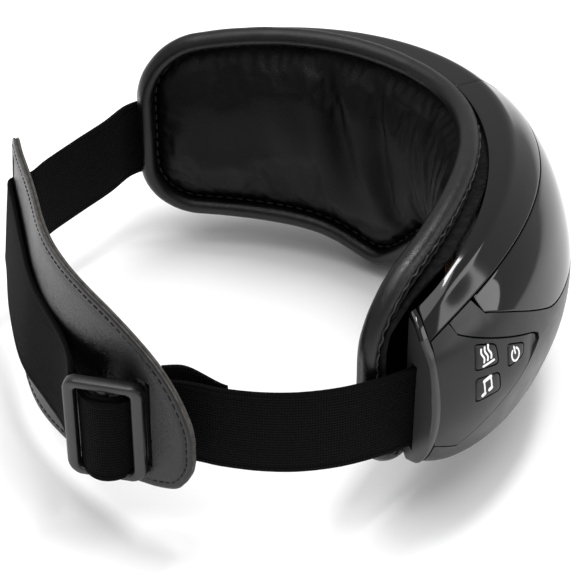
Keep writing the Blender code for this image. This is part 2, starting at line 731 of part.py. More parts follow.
def build_buckle(mats):
    """The sliding frame with its centre bar, and the webbing that wraps over the bar."""
    matrix = buckle_matrix()
    length, height, thick = BUCKLE_SIZE
    frame = box("adjuster_buckle", matrix, (length, thick, height), mats["buckle"], 1.2)
    for step in (-1, 1):
        hole = matrix @ Matrix.Translation(Vector((step * BUCKLE_WINDOW_AT, 0.0, 0.0)) * MM)
        cut(frame, cutter_box("buckle_window_%d" % step, hole, (BUCKLE_WINDOW, 12.0, WEBBING_WIDTH + 1.0)))
    over = thick / 2 + WEBBING_THICK / 2 + 0.3
    hump = ((-7.2, -1.6), (-6.0, -0.9), (-4.5, 0.4), (-2.8, over - 0.6), (0.0, over + 0.2),
            (2.8, over - 0.6), (4.5, 0.4), (6.0, -0.9), (7.2, -1.6))
    path = smooth_path(hump, 17)
    rings = []
    for i, point in enumerate(path):
        across = side_of(path, i) * WEBBING_THICK / 2
        ring = []
        for sign, z in ((-1, -WEBBING_WIDTH / 2), (1, -WEBBING_WIDTH / 2), (1, WEBBING_WIDTH / 2),
                        (-1, WEBBING_WIDTH / 2)):
            spot = matrix @ (Vector((point.x + sign * across.x, point.y + sign * across.y, z)) * MM)
            ring.append(tuple(spot / MM))
        rings.append(ring)
    loft("buckle_webbing_loop", rings, mats["webbing"])


def build_strap(mats):
    """Both elastic webbings, the head pad, the outer webbing, the loose tail and the sliding buckle."""
    high = WEBBING_LOW + WEBBING_WIDTH
    ribbon("strap_right", STRAP_RIGHT, WEBBING_LOW, high, WEBBING_THICK, mats["webbing"], 30)
    ribbon("strap_left", STRAP_LEFT, WEBBING_LOW, high, WEBBING_THICK, mats["webbing"], 28)
    ribbon("strap_tail", STRAP_TAIL, WEBBING_LOW + 2.5, high + 2.5, 1.0, mats["webbing"], 10)
    build_head_pad(mats)
    leaning_ribbon("outer_webbing", OUTER_TOP, OUTER_BASE, lambda u: 27.0 - 3.0 * u,
                   lambda u: 55.0 - 3.0 * u, mats["webbing"])
    build_buckle(mats)


# ---------------------------------------------------------------- inside the housing
def turned(name, matrix, steps, mat, sides=12):
    """A solid of revolution about the matrix's Y axis, from (distance, radius) steps."""
    rings = []
    for distance, radius in steps:
        ring = []
        for j in range(sides):
            turn = 2 * math.pi * j / sides
            spot = matrix @ (Vector((radius * math.cos(turn), distance, radius * math.sin(turn))) * MM)
            ring.append(tuple(spot / MM))
        rings.append(ring)
    return loft(name, rings, mat)


def half_disc(name, matrix, radius, length, mat):
    """An eccentric weight: half a disc about the matrix's X axis, hanging below it."""
    outline = [(radius * math.cos(a), radius * math.sin(a))
               for a in (math.radians(180.0 + 180.0 * i / 8) for i in range(9))]
    outline += [(0.9, 0.9), (-0.9, 0.9)]
    rings = []
    for x in (-length / 2, length / 2):
        rings.append([tuple((matrix @ (Vector((x, y, z)) * MM)) / MM) for y, z in outline])
    return loft(name, rings, mat)


def pivot(name, point, items):
    """An empty on a joint's axis that carries the pieces that move on it."""
    empty = bpy.data.objects.new(name, None)
    bpy.context.scene.collection.objects.link(empty)
    empty.location = Vector(point) * MM
    for item_name in items:
        item = bpy.data.objects[item_name]
        item.parent = empty
        item.matrix_parent_inverse = Matrix.Translation(Vector(point) * -MM)


def build_air_system(mats):
    """Pump motor, crank and head, the release valve with its plunger, and the air tube."""
    motor = local_matrix(math.radians(-30.0), 15.5, 42.0)
    cylinder("air_pump_motor", motor, 6.0, 18.0, mats["steel"], 16, "X")
    crank = motor @ Matrix.Translation(Vector((11.2, 0.0, 0.0)) * MM)
    cylinder("pump_crank", crank, 3.4, 3.0, mats["frame"], 12, "X")
    head = motor @ Matrix.Translation(Vector((18.6, 0.0, 0.0)) * MM)
    box("air_pump_head", head, (10.0, 11.0, 13.0), mats["frame"], 0.8)
    valve = local_matrix(math.radians(30.0), 14.0, 42.0)
    body = box("valve_body", valve, (14.0, 9.0, 12.0), mats["frame"], 0.6)
    bore = valve @ Matrix.Translation(Vector((0.0, 0.0, 5.0)) * MM)
    cut(body, cylinder("valve_bore", bore, 2.1, 8.0, None, 12, "Z"))
    plunger = valve @ Matrix.Translation(Vector((0.0, 0.0, 5.6)) * MM)
    cylinder("valve_plunger", plunger, 1.6, 6.0, mats["steel"], 12, "Z")
    count = 22
    spread = [i / (count - 1) * 2.0 - 1.0 for i in range(count)]
    route = [place(math.radians(-5.5 + 32.5 * u), 13.5, 70.0 - 7.0 * u ** 4) for u in spread]
    curve = bpy.data.curves.new("air_tube", "CURVE")
    curve.dimensions = "3D"
    curve.bevel_depth = 1.4 * MM
    curve.bevel_resolution = 2
    curve.use_fill_caps = True
    line = curve.splines.new("POLY")
    line.points.add(len(route) - 1)
    for spot, point in zip(line.points, route):
        spot.co = (*(Vector(point) * MM), 1.0)
    add_object("air_tube", curve, mats["rubber"])


def build_motors(mats):
    """The two vibration motors with their eccentric weights, and the two speakers."""
    for side, word in ((-1, "right"), (1, "left")):
        motor = local_matrix(math.radians(side * 40.0), 14.5, 24.0)
        cylinder("vibration_motor_" + word, motor, 3.6, 11.0, mats["steel"], 12, "X")
        weight = motor @ Matrix.Translation(Vector((-side * 8.0, 0.0, 0.0)) * MM)
        half_disc("motor_weight_" + word, weight, 3.2, 3.0, mats["steel"])
        speaker = local_matrix(math.radians(side * 57.0), 10.4, 46.0)
        cylinder("speaker_" + word, speaker, 7.0, 3.0, mats["frame"], 18, "Y")


def build_controls(mats):
    """The small board behind the buttons with one switch under each button."""
    ways = [button_axis(outline) for outline in (HEAT_OUTLINE, MUSIC_OUTLINE, POWER_OUTLINE)]
    way = sum(ways, Vector()).normalized()
    side = Vector((0.0, 0.0, 1.0)).cross(way).normalized()
    up = way.cross(side)
    basis = Matrix((side, way, up)).transposed().to_4x4()
    board = basis.copy()
    board.translation = (Vector(skin(math.radians(-59.5), 50.8)) + way * (BUTTON_DEPTH + 7.2)) * MM
    box("button_pcb", board, (22.0, 1.2, 17.0), mats["board"])
    for name, outline in (("switch_heat", HEAT_OUTLINE), ("switch_music", MUSIC_OUTLINE),
                          ("switch_power", POWER_OUTLINE)):
        t = math.radians(-sum(p[0] for p in outline) / 4)
        z = sum(p[1] for p in outline) / 4
        spot = basis.copy()
        spot.translation = (Vector(skin(t, z)) + button_axis(outline) * (BUTTON_DEPTH + BUTTON_TRAVEL + 2.4)) * MM
        box(name, spot, (4.4, 2.6, 4.4), mats["frame"])


def build_screws(mats, frame):
    """Four screws through the rear frame, each in a clearance hole."""
    number = 1
    for angle in (-50.0, -22.0, 22.0, 50.0):
        t = math.radians(angle)
        matrix = local_matrix(t, 0.0, rim_base(t) + 11.5)
        turned("frame_screw_%d" % number, matrix, ((4.5, 1.7), (5.2, 1.7), (5.2, 0.9), (12.0, 0.9)),
               mats["steel"])
        hole = matrix @ Matrix.Translation(Vector((0.0, 6.5, 0.0)) * MM)
        cut(frame, cylinder("screw_hole_%d" % number, hole, 1.25, 8.0, None, 12, "Y"))
        number += 1


def build_inside(mats):
    """The main board and battery, and everything else inside the housing."""
    box("main_pcb", local_matrix(0.0, 11.0, 47.5), (46.0, 1.6, 33.0), mats["board"])
    box("battery", local_matrix(0.0, 18.0, 47.0), (36.0, 6.0, 22.0), mats["cell"], 0.8)
    build_air_system(mats)
    build_motors(mats)
    build_controls(mats)


def add_pivots():
    """An empty on each joint's axis."""
    for name, outline in (("heat_button", HEAT_OUTLINE), ("music_button", MUSIC_OUTLINE),
                          ("power_button", POWER_OUTLINE)):
        t = math.radians(-sum(p[0] for p in outline) / 4)
        z = sum(p[1] for p in outline) / 4
        pivot(name + "_axis", skin(t, z), [name])
    for name in ("motor_weight_right", "motor_weight_left", "pump_crank", "valve_plunger"):
        centre = sum((Vector(c) for c in bpy.data.objects[name].bound_box), Vector()) / 8
        point = bpy.data.objects[name].matrix_world @ centre
        if name in ("motor_weight_right", "motor_weight_left"):
            side = -1 if name.endswith("right") else 1
            point = local_matrix(math.radians(side * 40.0), 14.5, 24.0) @ Vector((-side * 8.0 * MM, 0.0, 0.0))
        pivot(name + "_axis", point / MM, [name])
    point = (BUCKLE_CENTRE[0], BUCKLE_CENTRE[1] + TEMPLE_Y, BUCKLE_CENTRE[2])
    pivot("buckle_axis", point, ["adjuster_buckle", "buckle_webbing_loop"])


def main():
    clear_scene()
    mats = make_materials()
    build_housing(mats)
    build_ends(mats)
    build_cushion(mats)
    frame = build_back(mats)
    build_strap(mats)
    build_inside(mats)
    build_screws(mats, frame)
    add_pivots()


main()
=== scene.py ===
"""Looks for the eye massager mask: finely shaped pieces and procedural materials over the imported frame."""
import json
import math

import bmesh
import bpy
import numpy as np
from mathutils import Matrix, Vector, noise


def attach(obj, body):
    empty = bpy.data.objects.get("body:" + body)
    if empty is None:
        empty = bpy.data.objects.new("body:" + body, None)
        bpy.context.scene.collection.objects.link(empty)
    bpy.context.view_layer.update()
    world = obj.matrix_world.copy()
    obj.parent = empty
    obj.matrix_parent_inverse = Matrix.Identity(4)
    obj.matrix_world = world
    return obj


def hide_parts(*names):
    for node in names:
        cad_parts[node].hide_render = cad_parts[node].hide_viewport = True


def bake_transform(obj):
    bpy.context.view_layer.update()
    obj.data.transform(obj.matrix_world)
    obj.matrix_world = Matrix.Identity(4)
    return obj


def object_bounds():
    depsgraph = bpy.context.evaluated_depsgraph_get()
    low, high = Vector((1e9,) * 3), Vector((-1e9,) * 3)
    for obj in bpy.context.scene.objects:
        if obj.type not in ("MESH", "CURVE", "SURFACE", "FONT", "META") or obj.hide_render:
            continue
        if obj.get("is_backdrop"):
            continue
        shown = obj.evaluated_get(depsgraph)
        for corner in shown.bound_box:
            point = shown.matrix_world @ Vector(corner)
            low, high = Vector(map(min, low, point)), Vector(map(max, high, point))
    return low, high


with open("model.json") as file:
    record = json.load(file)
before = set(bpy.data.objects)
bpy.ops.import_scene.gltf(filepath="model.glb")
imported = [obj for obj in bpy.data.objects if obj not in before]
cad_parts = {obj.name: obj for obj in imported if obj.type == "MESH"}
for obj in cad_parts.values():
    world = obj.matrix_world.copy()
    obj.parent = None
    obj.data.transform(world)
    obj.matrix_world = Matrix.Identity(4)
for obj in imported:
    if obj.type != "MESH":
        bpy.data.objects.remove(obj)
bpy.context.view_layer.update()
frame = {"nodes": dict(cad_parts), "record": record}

MM = 0.001

# ------------------------------------------------------------------ driving dimensions (mm, degrees)
RIM_HALF_WIDTH, RIM_DEPTH, RIM_POWER_X, RIM_POWER_Y = 77.0, 70.2, 1.038, 1.652
TEMPLE_Y = 14.0
END_ANGLE, PROFILE_ANGLE = 73.5, 76.0
SQUARE_FROM, SQUARE_DEPTH = 54.0, 17.0
GAP = 0.35
HOUSING_WALL, PANEL_WALL = 1.6, 1.8
PIPING_RADIUS = 2.6
CUSHION_CORNER = 20.0
WEBBING_WIDTH, WEBBING_LOW = 28.0, 26.6
PROFILE = (
    ((2.3, 83.4), (7.2, 80.0), (4.0, 69.2)),
    ((11.0, 83.6), (11.2, 79.4), (7.6, 68.6)),
    ((21.0, 74.5), (17.0, 72.0), (12.4, 64.2)),
    ((27.5, 62.0), (24.5, 61.5), (15.5, 60.0)),
    ((31.0, 46.0), (29.5, 46.0), (17.0, 46.0)),
    ((29.5, 28.0), (27.5, 31.0), (16.0, 34.0)),
    ((22.0, 14.0), (21.5, 17.0), (11.5, 24.5)),
    ((8.0, 8.0), (10.0, 12.0), (6.0, 20.0)),
)
RIDGE_ROW, VISOR_ROW, STEPS = 1, 2, 8
PANEL_START, PANEL_PEAK = 47.2, 67.2
PANEL_TOP = ((47.2, 50.0), (48.6, 51.8), (66.0, 64.9), (67.2, 72.0), (79.0, 69.0))
PANEL_BASE = ((47.2, 48.0), (48.9, 46.2), (67.2, 27.7), (73.5, 31.5), (79.0, 43.0))
HEAT_OUTLINE = ((63.7, 61.0), (58.6, 57.7), (59.1, 51.7), (65.4, 53.7))
MUSIC_OUTLINE = ((65.6, 51.7), (59.4, 49.7), (59.4, 43.3), (66.0, 43.9))
POWER_OUTLINE = ((56.2, 55.4), (51.6, 51.8), (52.7, 48.2), (57.4, 48.6))
VISOR_EDGE = ((0.0, 43.0), (18.0, 45.5), (30.0, 48.0), (37.0, 49.5), (41.0, 51.2), (52.0, 61.4), (58.0, 66.0))
VISOR_END, VISOR_SOFTEN = 58.0, 1.4
STRAP_RIGHT = ((-80.2, -18.0), (-80.6, -10.0), (-80.8, -3.0), (-79.6, 8.0), (-76.2, 19.0), (-71.2, 28.5),
               (-65.0, 37.0), (-60.2, 42.0), (-56.6, 46.4), (-55.0, 50.2), (-54.3, 54.4))
STRAP_LEFT = ((80.2, -18.0), (80.6, -10.0), (80.7, -3.0), (79.4, 3.5), (74.0, 12.5), (68.2, 24.6),
              (61.8, 37.0), (57.8, 43.0), (56.6, 46.6), (55.4, 51.4))
STRAP_TAIL = ((-63.4, 34.4), (-60.4, 37.2), (-57.4, 40.6), (-54.4, 44.6), (-52.6, 48.8))
OUTER_TOP = ((55.2, 50.6), (53.6, 52.6), (43.0, 55.2), (19.0, 61.2), (5.0, 64.0), (-8.0, 64.9),
             (-20.0, 65.3), (-30.0, 66.8), (-37.4, 69.4))
OUTER_BASE = ((55.8, 53.2), (54.6, 55.4), (46.0, 58.2), (30.0, 63.6), (12.0, 68.2), (0.0, 69.8),
              (-14.0, 69.2), (-27.0, 68.8), (-37.0, 70.8))
PAD_PLAN = ((65.6, 48.2, 50.0, 56.0), (63.8, 49.0, 43.0, 62.5), (59.0, 51.0, 37.0, 65.5),
            (50.0, 54.6, 29.5, 66.8), (38.0, 58.6, 22.0, 67.8), (24.0, 62.8, 16.5, 69.0),
            (10.0, 66.0, 13.2, 70.2), (-3.0, 66.9, 12.0, 71.2), (-16.0, 65.6, 12.0, 71.8),
            (-28.0, 62.9, 12.4, 71.6), (-40.0, 59.0, 14.0, 69.8), (-50.0, 55.2, 16.8, 66.2),
            (-58.0, 52.0, 19.6, 61.4), (-64.0, 49.4, 23.2, 54.6), (-67.4, 47.6, 29.4, 47.2),
            (-68.4, 47.0, 34.0, 42.0))
PAD_FOOT, PAD_HEIGHT, LEATHER_THICK = 12.0, 58.0, 2.4
SLOTS = ((55.2, 50.4, 47.0, 31.0), (-54.3, 53.4, 40.4, 29.6))
BUCKLE_CENTRE = (-47.7, 64.4, 37.0)
BUCKLE_TANGENT = (-0.64, -0.77)
BUCKLE_SIZE = (23.0, 33.4, 3.6)


# ------------------------------------------------------------------ materials
class Shader:
    """A Principled material with a few chained procedural layers."""

    def __init__(self, name, colour, roughness, specular=0.5, sheen=0.0):
        self.mat = bpy.data.materials.new(name)
        self.mat.use_nodes = True
        self.tree = self.mat.node_tree
        self.shader = self.tree.nodes["Principled BSDF"]
        put = self.shader.inputs
        put["Base Color"].default_value = (*colour, 1.0)
        put["Roughness"].default_value = roughness
        put["Specular IOR Level"].default_value = specular
        put["Sheen Weight"].default_value = sheen
        put["Sheen Roughness"].default_value = 0.45
        self.colour = colour
        self.coords = self.tree.nodes.new("ShaderNodeTexCoord")
        self.normal = None

    def node(self, kind, **values):
        """A new node with the given socket values or settings."""
        item = self.tree.nodes.new("ShaderNode" + kind)
        for key, value in values.items():
            if key in item.inputs:
                item.inputs[key].default_value = value
            else:
                setattr(item, key, value)
        return item

    def link(self, out, into):
        self.tree.links.new(out, into)
        return self

    def metal(self, amount):
        self.shader.inputs["Metallic"].default_value = amount
        return self

    def noise(self, scale, detail=4.0, stretch=(1, 1, 1), coord="Object"):
        mapping = self.node("Mapping")
        mapping.inputs["Scale"].default_value = stretch
        self.link(self.coords.outputs[coord], mapping.inputs["Vector"])
        tex = self.node("TexNoise", Scale=scale, Detail=detail)
        self.link(mapping.outputs["Vector"], tex.inputs["Vector"])
        return tex.outputs["Fac"]

    def vary_colour(self, scale, low, high, detail=3.0):
        """Colour mottled between low and high times the base colour."""
        ramp = self.node("ValToRGB")
        ramp.color_ramp.elements[0].position = 0.3
        ramp.color_ramp.elements[1].position = 0.7
        ramp.color_ramp.elements[0].color = (*[c * low for c in self.colour], 1.0)
        ramp.color_ramp.elements[1].color = (*[c * high for c in self.colour], 1.0)
        self.link(self.noise(scale, detail), ramp.inputs["Fac"])
        self.link(ramp.outputs["Color"], self.shader.inputs["Base Color"])
        return self

    def vary_roughness(self, scale, low, high):
        spread = self.node("MapRange")
        spread.inputs["From Min"].default_value = 0.3
        spread.inputs["From Max"].default_value = 0.7
        spread.inputs["To Min"].default_value = low
        spread.inputs["To Max"].default_value = high
        self.link(self.noise(scale), spread.inputs["Value"])
        self.link(spread.outputs["Result"], self.shader.inputs["Roughness"])
        return self

    def bump(self, height, strength, distance):
        item = self.node("Bump", Strength=strength, Distance=distance)
        self.link(height, item.inputs["Height"])
        if self.normal is not None:
            self.link(self.normal, item.inputs["Normal"])
        self.normal = item.outputs["Normal"]
        self.link(self.normal, self.shader.inputs["Normal"])
        return self

    def fine_bump(self, scale, strength, distance):
        return self.bump(self.noise(scale), strength, distance)

    def grain(self, scale, strength, distance):
        """Leather cells, each a low dome in a fine crease."""
        cells = self.node("TexVoronoi", Scale=scale)
        cells.feature = "DISTANCE_TO_EDGE"
        moved = self.node("VectorMath")
        moved.operation = "ADD"
        wander = self.node("TexNoise", Scale=scale * 0.4, Detail=2.0)
        small = self.node("VectorMath")
        small.operation = "SCALE"
        small.inputs["Scale"].default_value = 0.002
        self.link(self.coords.outputs["Object"], wander.inputs["Vector"])
        self.link(wander.outputs["Color"], small.inputs[0])
        self.link(self.coords.outputs["Object"], moved.inputs[0])
        self.link(small.outputs["Vector"], moved.inputs[1])
        self.link(moved.outputs["Vector"], cells.inputs["Vector"])
        dome = self.node("MapRange")
        dome.inputs["From Max"].default_value = 0.35
        self.link(cells.outputs["Distance"], dome.inputs["Value"])
        return self.bump(dome.outputs["Result"], strength, distance)

    def wave(self, scale, direction, stretch=(1, 1, 1), coord="UV", distortion=0.0):
        mapping = self.node("Mapping")
        mapping.inputs["Scale"].default_value = stretch
        self.link(self.coords.outputs[coord], mapping.inputs["Vector"])
        tex = self.node("TexWave", Scale=scale, Distortion=distortion)
        tex.bands_direction = direction
        tex.wave_profile = "SIN"
        self.link(mapping.outputs["Vector"], tex.inputs["Vector"])
        return tex.outputs["Fac"]


def make_webbing(name, colour):
    """Knitted elastic: ribs along the band crossed by short weft stitches. Its UVs are in millimetres."""
    look = Shader(name, colour, 0.82, specular=0.07, sheen=0.01)
    ribs = look.wave(0.34, "Y")
    picks = look.wave(0.42, "X", distortion=0.4)
    mix = look.node("Math")
    mix.operation = "MULTIPLY"
    look.link(ribs, mix.inputs[0]).link(picks, mix.inputs[1])
    # The colour follows the weave's height: raised stitches are painted lighter and the hollows between them
    # darker, a painted highlight and painted shade on the black knit.
    ramp = look.node("ValToRGB")
    ramp.color_ramp.elements[0].color = (*[c * 0.35 for c in colour], 1.0)
    ramp.color_ramp.elements[1].color = (*[c * 2.1 for c in colour], 1.0)
    look.link(mix.outputs["Value"], ramp.inputs["Fac"])
    look.link(ramp.outputs["Color"], look.shader.inputs["Base Color"])
    return look.bump(mix.outputs["Value"], 0.9, 0.0004).bump(look.noise(1500.0), 0.25, 0.0001).mat


def make_textile(name, colour):
    """Coarse woven cloth."""
    look = Shader(name, colour, 0.9, specular=0.12, sheen=0.02)
    warp = look.wave(190.0, "DIAGONAL", coord="Object")
    weft = look.wave(190.0, "X", stretch=(1, -0.7, 0.7), coord="Object")
    mix = look.node("Math")
    mix.operation = "MAXIMUM"
    look.link(warp, mix.inputs[0]).link(weft, mix.inputs[1])
    look.vary_colour(400.0, 0.5, 1.7)
    return look.bump(mix.outputs["Value"], 0.8, 0.0004).bump(look.noise(900.0), 0.5, 0.0003).mat


# Each look: name, colour, roughness, specular level, then the layers over it as (method, its values).
LOOKS = {
    "gloss": ("cover_gloss", (0.003, 0.003, 0.0033), 0.12, 0.42,
              ("vary_roughness", 60.0, 0.07, 0.12), ("fine_bump", 90.0, 0.02, 0.0002)),
    "visor": ("visor_mirror_black", (0.0025, 0.0025, 0.0028), 0.05, 0.45,
              ("vary_roughness", 40.0, 0.035, 0.07), ("fine_bump", 70.0, 0.012, 0.0002)),
    "satin": ("shell_satin", (0.008, 0.008, 0.0085), 0.36, 0.34,
              ("vary_roughness", 90.0, 0.32, 0.42), ("fine_bump", 2600.0, 0.12, 0.00005)),
    "panel": ("panel_satin", (0.012, 0.012, 0.0125), 0.4, 0.32,
              ("vary_roughness", 110.0, 0.37, 0.46), ("fine_bump", 2600.0, 0.12, 0.00005)),
    # The end wall is the same satin plastic as the shell, its colour set lighter as painted light for the lit
    # rear-facing wall.
    "wall": ("end_wall_satin", (0.03, 0.03, 0.031), 0.42, 0.4,
             ("vary_roughness", 100.0, 0.38, 0.48), ("fine_bump", 2600.0, 0.12, 0.00005)),
    "button": ("button_satin", (0.011, 0.011, 0.0115), 0.42, 0.32,
               ("vary_roughness", 140.0, 0.38, 0.48), ("fine_bump", 2600.0, 0.12, 0.00005)),
    "leather": ("cushion_leather", (0.0016, 0.0016, 0.0018), 0.4, 0.15,
                ("vary_colour", 35.0, 0.75, 1.3), ("vary_roughness", 55.0, 0.36, 0.5),
                ("grain", 1500.0, 0.35, 0.0002)),
    "piping": ("piping_leather", (0.003, 0.003, 0.0033), 0.32, 0.36,
               ("vary_colour", 45.0, 0.7, 1.3), ("vary_roughness", 70.0, 0.27, 0.36),
               ("grain", 1600.0, 0.25, 0.00015)),
    "pad": ("pad_leather", (0.003, 0.003, 0.0033), 0.3, 0.34,
            ("vary_colour", 40.0, 0.8, 1.2), ("vary_roughness", 60.0, 0.26, 0.34),
            ("grain", 1300.0, 0.3, 0.00015)),
    "lining": ("pad_lining", (0.006, 0.006, 0.0065), 0.6, 0.2,
               ("vary_colour", 60.0, 0.7, 1.3), ("grain", 1500.0, 0.3, 0.0002)),
    "raw_edge": ("leather_raw_edge", (0.06, 0.057, 0.053), 0.8, 0.2,
                 ("vary_colour", 500.0, 0.6, 1.25), ("fine_bump", 1800.0, 0.8, 0.0002)),
    "buckle": ("buckle_plastic", (0.008, 0.008, 0.0085), 0.36, 0.6,
               ("vary_roughness", 130.0, 0.32, 0.42), ("fine_bump", 2200.0, 0.15, 0.00006)),
    "thread": ("stitch_thread", (0.006, 0.006, 0.0065), 0.6, 0.3,
               ("vary_colour", 700.0, 0.6, 1.5), ("fine_bump", 2500.0, 0.6, 0.0001)),
    "binding": ("binding_thread", (0.03, 0.03, 0.031), 0.75, 0.3,
                ("vary_colour", 600.0, 0.5, 1.4), ("fine_bump", 2500.0, 0.6, 0.0001)),
    "icon": ("icon_print", (0.86, 0.86, 0.86), 0.5, 0.4,
             ("vary_colour", 300.0, 0.95, 1.05), ("fine_bump", 3000.0, 0.1, 0.00003)),
    "frame": ("inner_plastic", (0.008, 0.008, 0.008), 0.6, 0.3,
              ("vary_roughness", 120.0, 0.52, 0.68), ("fine_bump", 1800.0, 0.2, 0.00008)),
    "board": ("circuit_board", (0.02, 0.12, 0.05), 0.45, 0.5,
              ("vary_colour", 250.0, 0.7, 1.25), ("fine_bump", 900.0, 0.3, 0.0001)),
    "cell": ("battery_wrap", (0.06, 0.08, 0.3), 0.35, 0.5,
             ("vary_roughness", 90.0, 0.28, 0.45), ("fine_bump", 400.0, 0.1, 0.0001)),
    "steel": ("bare_steel", (0.55, 0.55, 0.56), 0.3, 0.5, ("metal", 1.0),
              ("vary_roughness", 200.0, 0.22, 0.4), ("fine_bump", 900.0, 0.1, 0.00005)),
    "copper": ("heating_film", (0.5, 0.24, 0.07), 0.4, 0.5,
               ("vary_colour", 80.0, 0.75, 1.2), ("fine_bump", 500.0, 0.2, 0.0001)),
    "bladder": ("airbag_film", (0.3, 0.3, 0.32), 0.35, 0.5,
                ("vary_roughness", 60.0, 0.28, 0.42), ("fine_bump", 300.0, 0.2, 0.0002)),
    "rubber": ("air_tube_rubber", (0.5, 0.5, 0.48), 0.55, 0.5,
               ("vary_roughness", 80.0, 0.48, 0.62), ("fine_bump", 600.0, 0.2, 0.0001)),
}
MATS = {}
for key, (label, colour, roughness, specular, *layers) in LOOKS.items():
    look = Shader(label, colour, roughness, specular)
    for method, *values in layers:
        getattr(look, method)(*values)
    MATS[key] = look.mat
MATS["webbing"] = make_webbing("elastic_webbing", (0.0014, 0.0014, 0.0015))
MATS["textile"] = make_textile("skirt_textile", (0.006, 0.006, 0.0063))


# ------------------------------------------------------------------ meshes
def make_mesh(name, points, faces, mats, smooth=True, angle=40.0):
    """A mesh object from points in millimetres."""
    mesh = bpy.data.meshes.new(name)
    mesh.from_pydata([Vector(p) * MM for p in points], [], faces)
    for mat in mats if isinstance(mats, (list, tuple)) else [mats]:
        mesh.materials.append(mat)
    item = bpy.data.objects.new(name, mesh)
    bpy.context.scene.collection.objects.link(item)
    if smooth:
        mesh.shade_smooth()
        mesh.set_sharp_from_angle(angle=math.radians(angle))
    return item


def face_out(item):
    work = bmesh.new()
    work.from_mesh(item.data)
    bmesh.ops.recalc_face_normals(work, faces=work.faces)
    work.to_mesh(item.data)
    work.free()
    return item


def quads(rows, columns, close_rows=False, close_columns=False, start=0):
    """Faces of a grid of rows x columns points."""
    faces = []
    for i in range(rows if close_rows else rows - 1):
        a, b = start + i * columns, start + ((i + 1) % rows) * columns
        for j in range(columns if close_columns else columns - 1):
            k = (j + 1) % columns
            faces.append((a + j, a + k, b + k, b + j))
    return faces


def loft(name, rings, mats, closed=False, angle=40.0):
    """Skin over rings of points, capped at both ends unless it closes on itself."""
    count = len(rings[0])
    faces = quads(len(rings), count, closed, True)
    if not closed:
        faces.append(tuple(range(count)))
        faces.append(tuple(range(count * (len(rings) - 1), count * len(rings))))
    return face_out(make_mesh(name, [p for ring in rings for p in ring], faces, mats, True, angle))


def join(name, parts, mat):
    """Many small solids, each (points, faces), as one mesh."""
    points, faces = [], []
    for more, some in parts:
        shift = len(points)
        points += list(more)
        faces += [tuple(k + shift for k in face) for face in some]
    return face_out(make_mesh(name, points, faces, mat, True, 50.0))


def finish_edges(item, wall, bevel):
    """Gives a skin its wall, rounds its edges and evens its shading."""
    if wall:
        solid = item.modifiers.new("wall", "SOLIDIFY")
        solid.thickness = wall * MM
        solid.offset = -1.0
    if bevel:
        edge = item.modifiers.new("edges", "BEVEL")
        edge.width = bevel * MM
        edge.segments = 2
        edge.limit_method = "ANGLE"
        edge.angle_limit = math.radians(50)
        edge.use_clamp_overlap = True
    item.modifiers.new("shading", "WEIGHTED_NORMAL").keep_sharp = True
    return item


def claim(item, body, nodes=()):
    """Lets a piece ride on a body and stand in for CAD nodes, which it hides."""
    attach(item, body)
    if nodes:
        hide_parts(*nodes)
    return item


def apply_all(item):
    """Bakes an object's modifiers into its mesh."""
    bpy.context.view_layer.update()
    mesh = bpy.data.meshes.new_from_object(item.evaluated_get(bpy.context.evaluated_depsgraph_get()))
    item.modifiers.clear()
    item.data = mesh


def boolean_cut(item, cutters, angle=38.0):
    """Cuts solids out of a piece and removes them."""
    for k, cutter in enumerate(cutters):
        modifier = item.modifiers.new("cut_%d" % k, "BOOLEAN")
        modifier.operation, modifier.solver, modifier.object = "DIFFERENCE", "EXACT", cutter
    apply_all(item)
    for cutter in cutters:
        bpy.data.objects.remove(cutter, do_unlink=True)
    item.data.shade_smooth()
    item.data.set_sharp_from_angle(angle=math.radians(angle))


# ------------------------------------------------------------------ plan curve and housing profile
def rim(t):
    """The rim's plan curve; t is 0 at the nose and 90 degrees at a temple."""
    s, c = math.sin(t), max(math.cos(t), 0.0)
    return RIM_HALF_WIDTH * math.copysign(abs(s) ** RIM_POWER_X, s), -RIM_DEPTH * c ** RIM_POWER_Y


def rim_normal(t):
    x0, y0 = rim(max(t - 0.001, -math.pi / 2))
    x1, y1 = rim(min(t + 0.001, math.pi / 2))
    length = math.hypot(x1 - x0, y1 - y0)
    return (y1 - y0) / length, -(x1 - x0) / length


def place(t, n, z):
    """The point at angle t, n outward from the rim, at height z."""
    x, y = rim(t)
    nx, ny = rim_normal(t)
    return x + n * nx, y + n * ny + TEMPLE_Y, z


def place_housing(t, n, z):
    """place() for the housing, whose inner side stops short near the temples so that its end is square."""
    share = min(1.0, max(0.0, (abs(math.degrees(t)) - SQUARE_FROM) / (END_ANGLE - SQUARE_FROM)))
    share = share * share * (3.0 - 2.0 * share)
    short = math.radians(0.205 * share * max(0.0, SQUARE_DEPTH - n) ** 1.3)
    return place(math.copysign(abs(t) - short, t), n, z)


TABLE_T = np.radians(np.linspace(0.0, 90.0, 721))
TABLE_ARC = np.concatenate(([0.0], np.cumsum([math.dist(rim(a), rim(b))
                                              for a, b in zip(TABLE_T, TABLE_T[1:])])))
RIM_ARC = float(TABLE_ARC[-1])


def angle_at(arc):
    """Angle t at a signed distance along the rim from the nose."""
    return math.copysign(float(np.interp(min(abs(arc), RIM_ARC), TABLE_ARC, TABLE_T)), arc)


def bump(x, centre, width):
    return math.exp(-((abs(x) - centre) / width) ** 2)


def cheek(x):
    return 13.0 * bump(x, 0.0, 14.0) - 6.4 * bump(x, 25.5, 12.5)


def rim_top(t):
    u = abs(rim(t)[0]) / RIM_HALF_WIDTH
    return 85.65 + 7.03 * u * u - 15.88 * u ** 4


def rim_base(t):
    x = rim(t)[0]
    return 11.2 + 3.0 * (abs(x) / RIM_HALF_WIDTH) ** 2 + cheek(x)


def even_curve(f0, f1, f2, s):
    """A value that is f0 at s = 0, f1 at s = 0.6 and f2 at s = 1, the same on both sides of the nose."""
    m = 0.36
    b = ((f1 - f0) / m - (f2 - f0)) / (m - 1.0)
    a = (f2 - f0) - b
    return f0 + a * s * s + b * s ** 4


PROFILES = {}


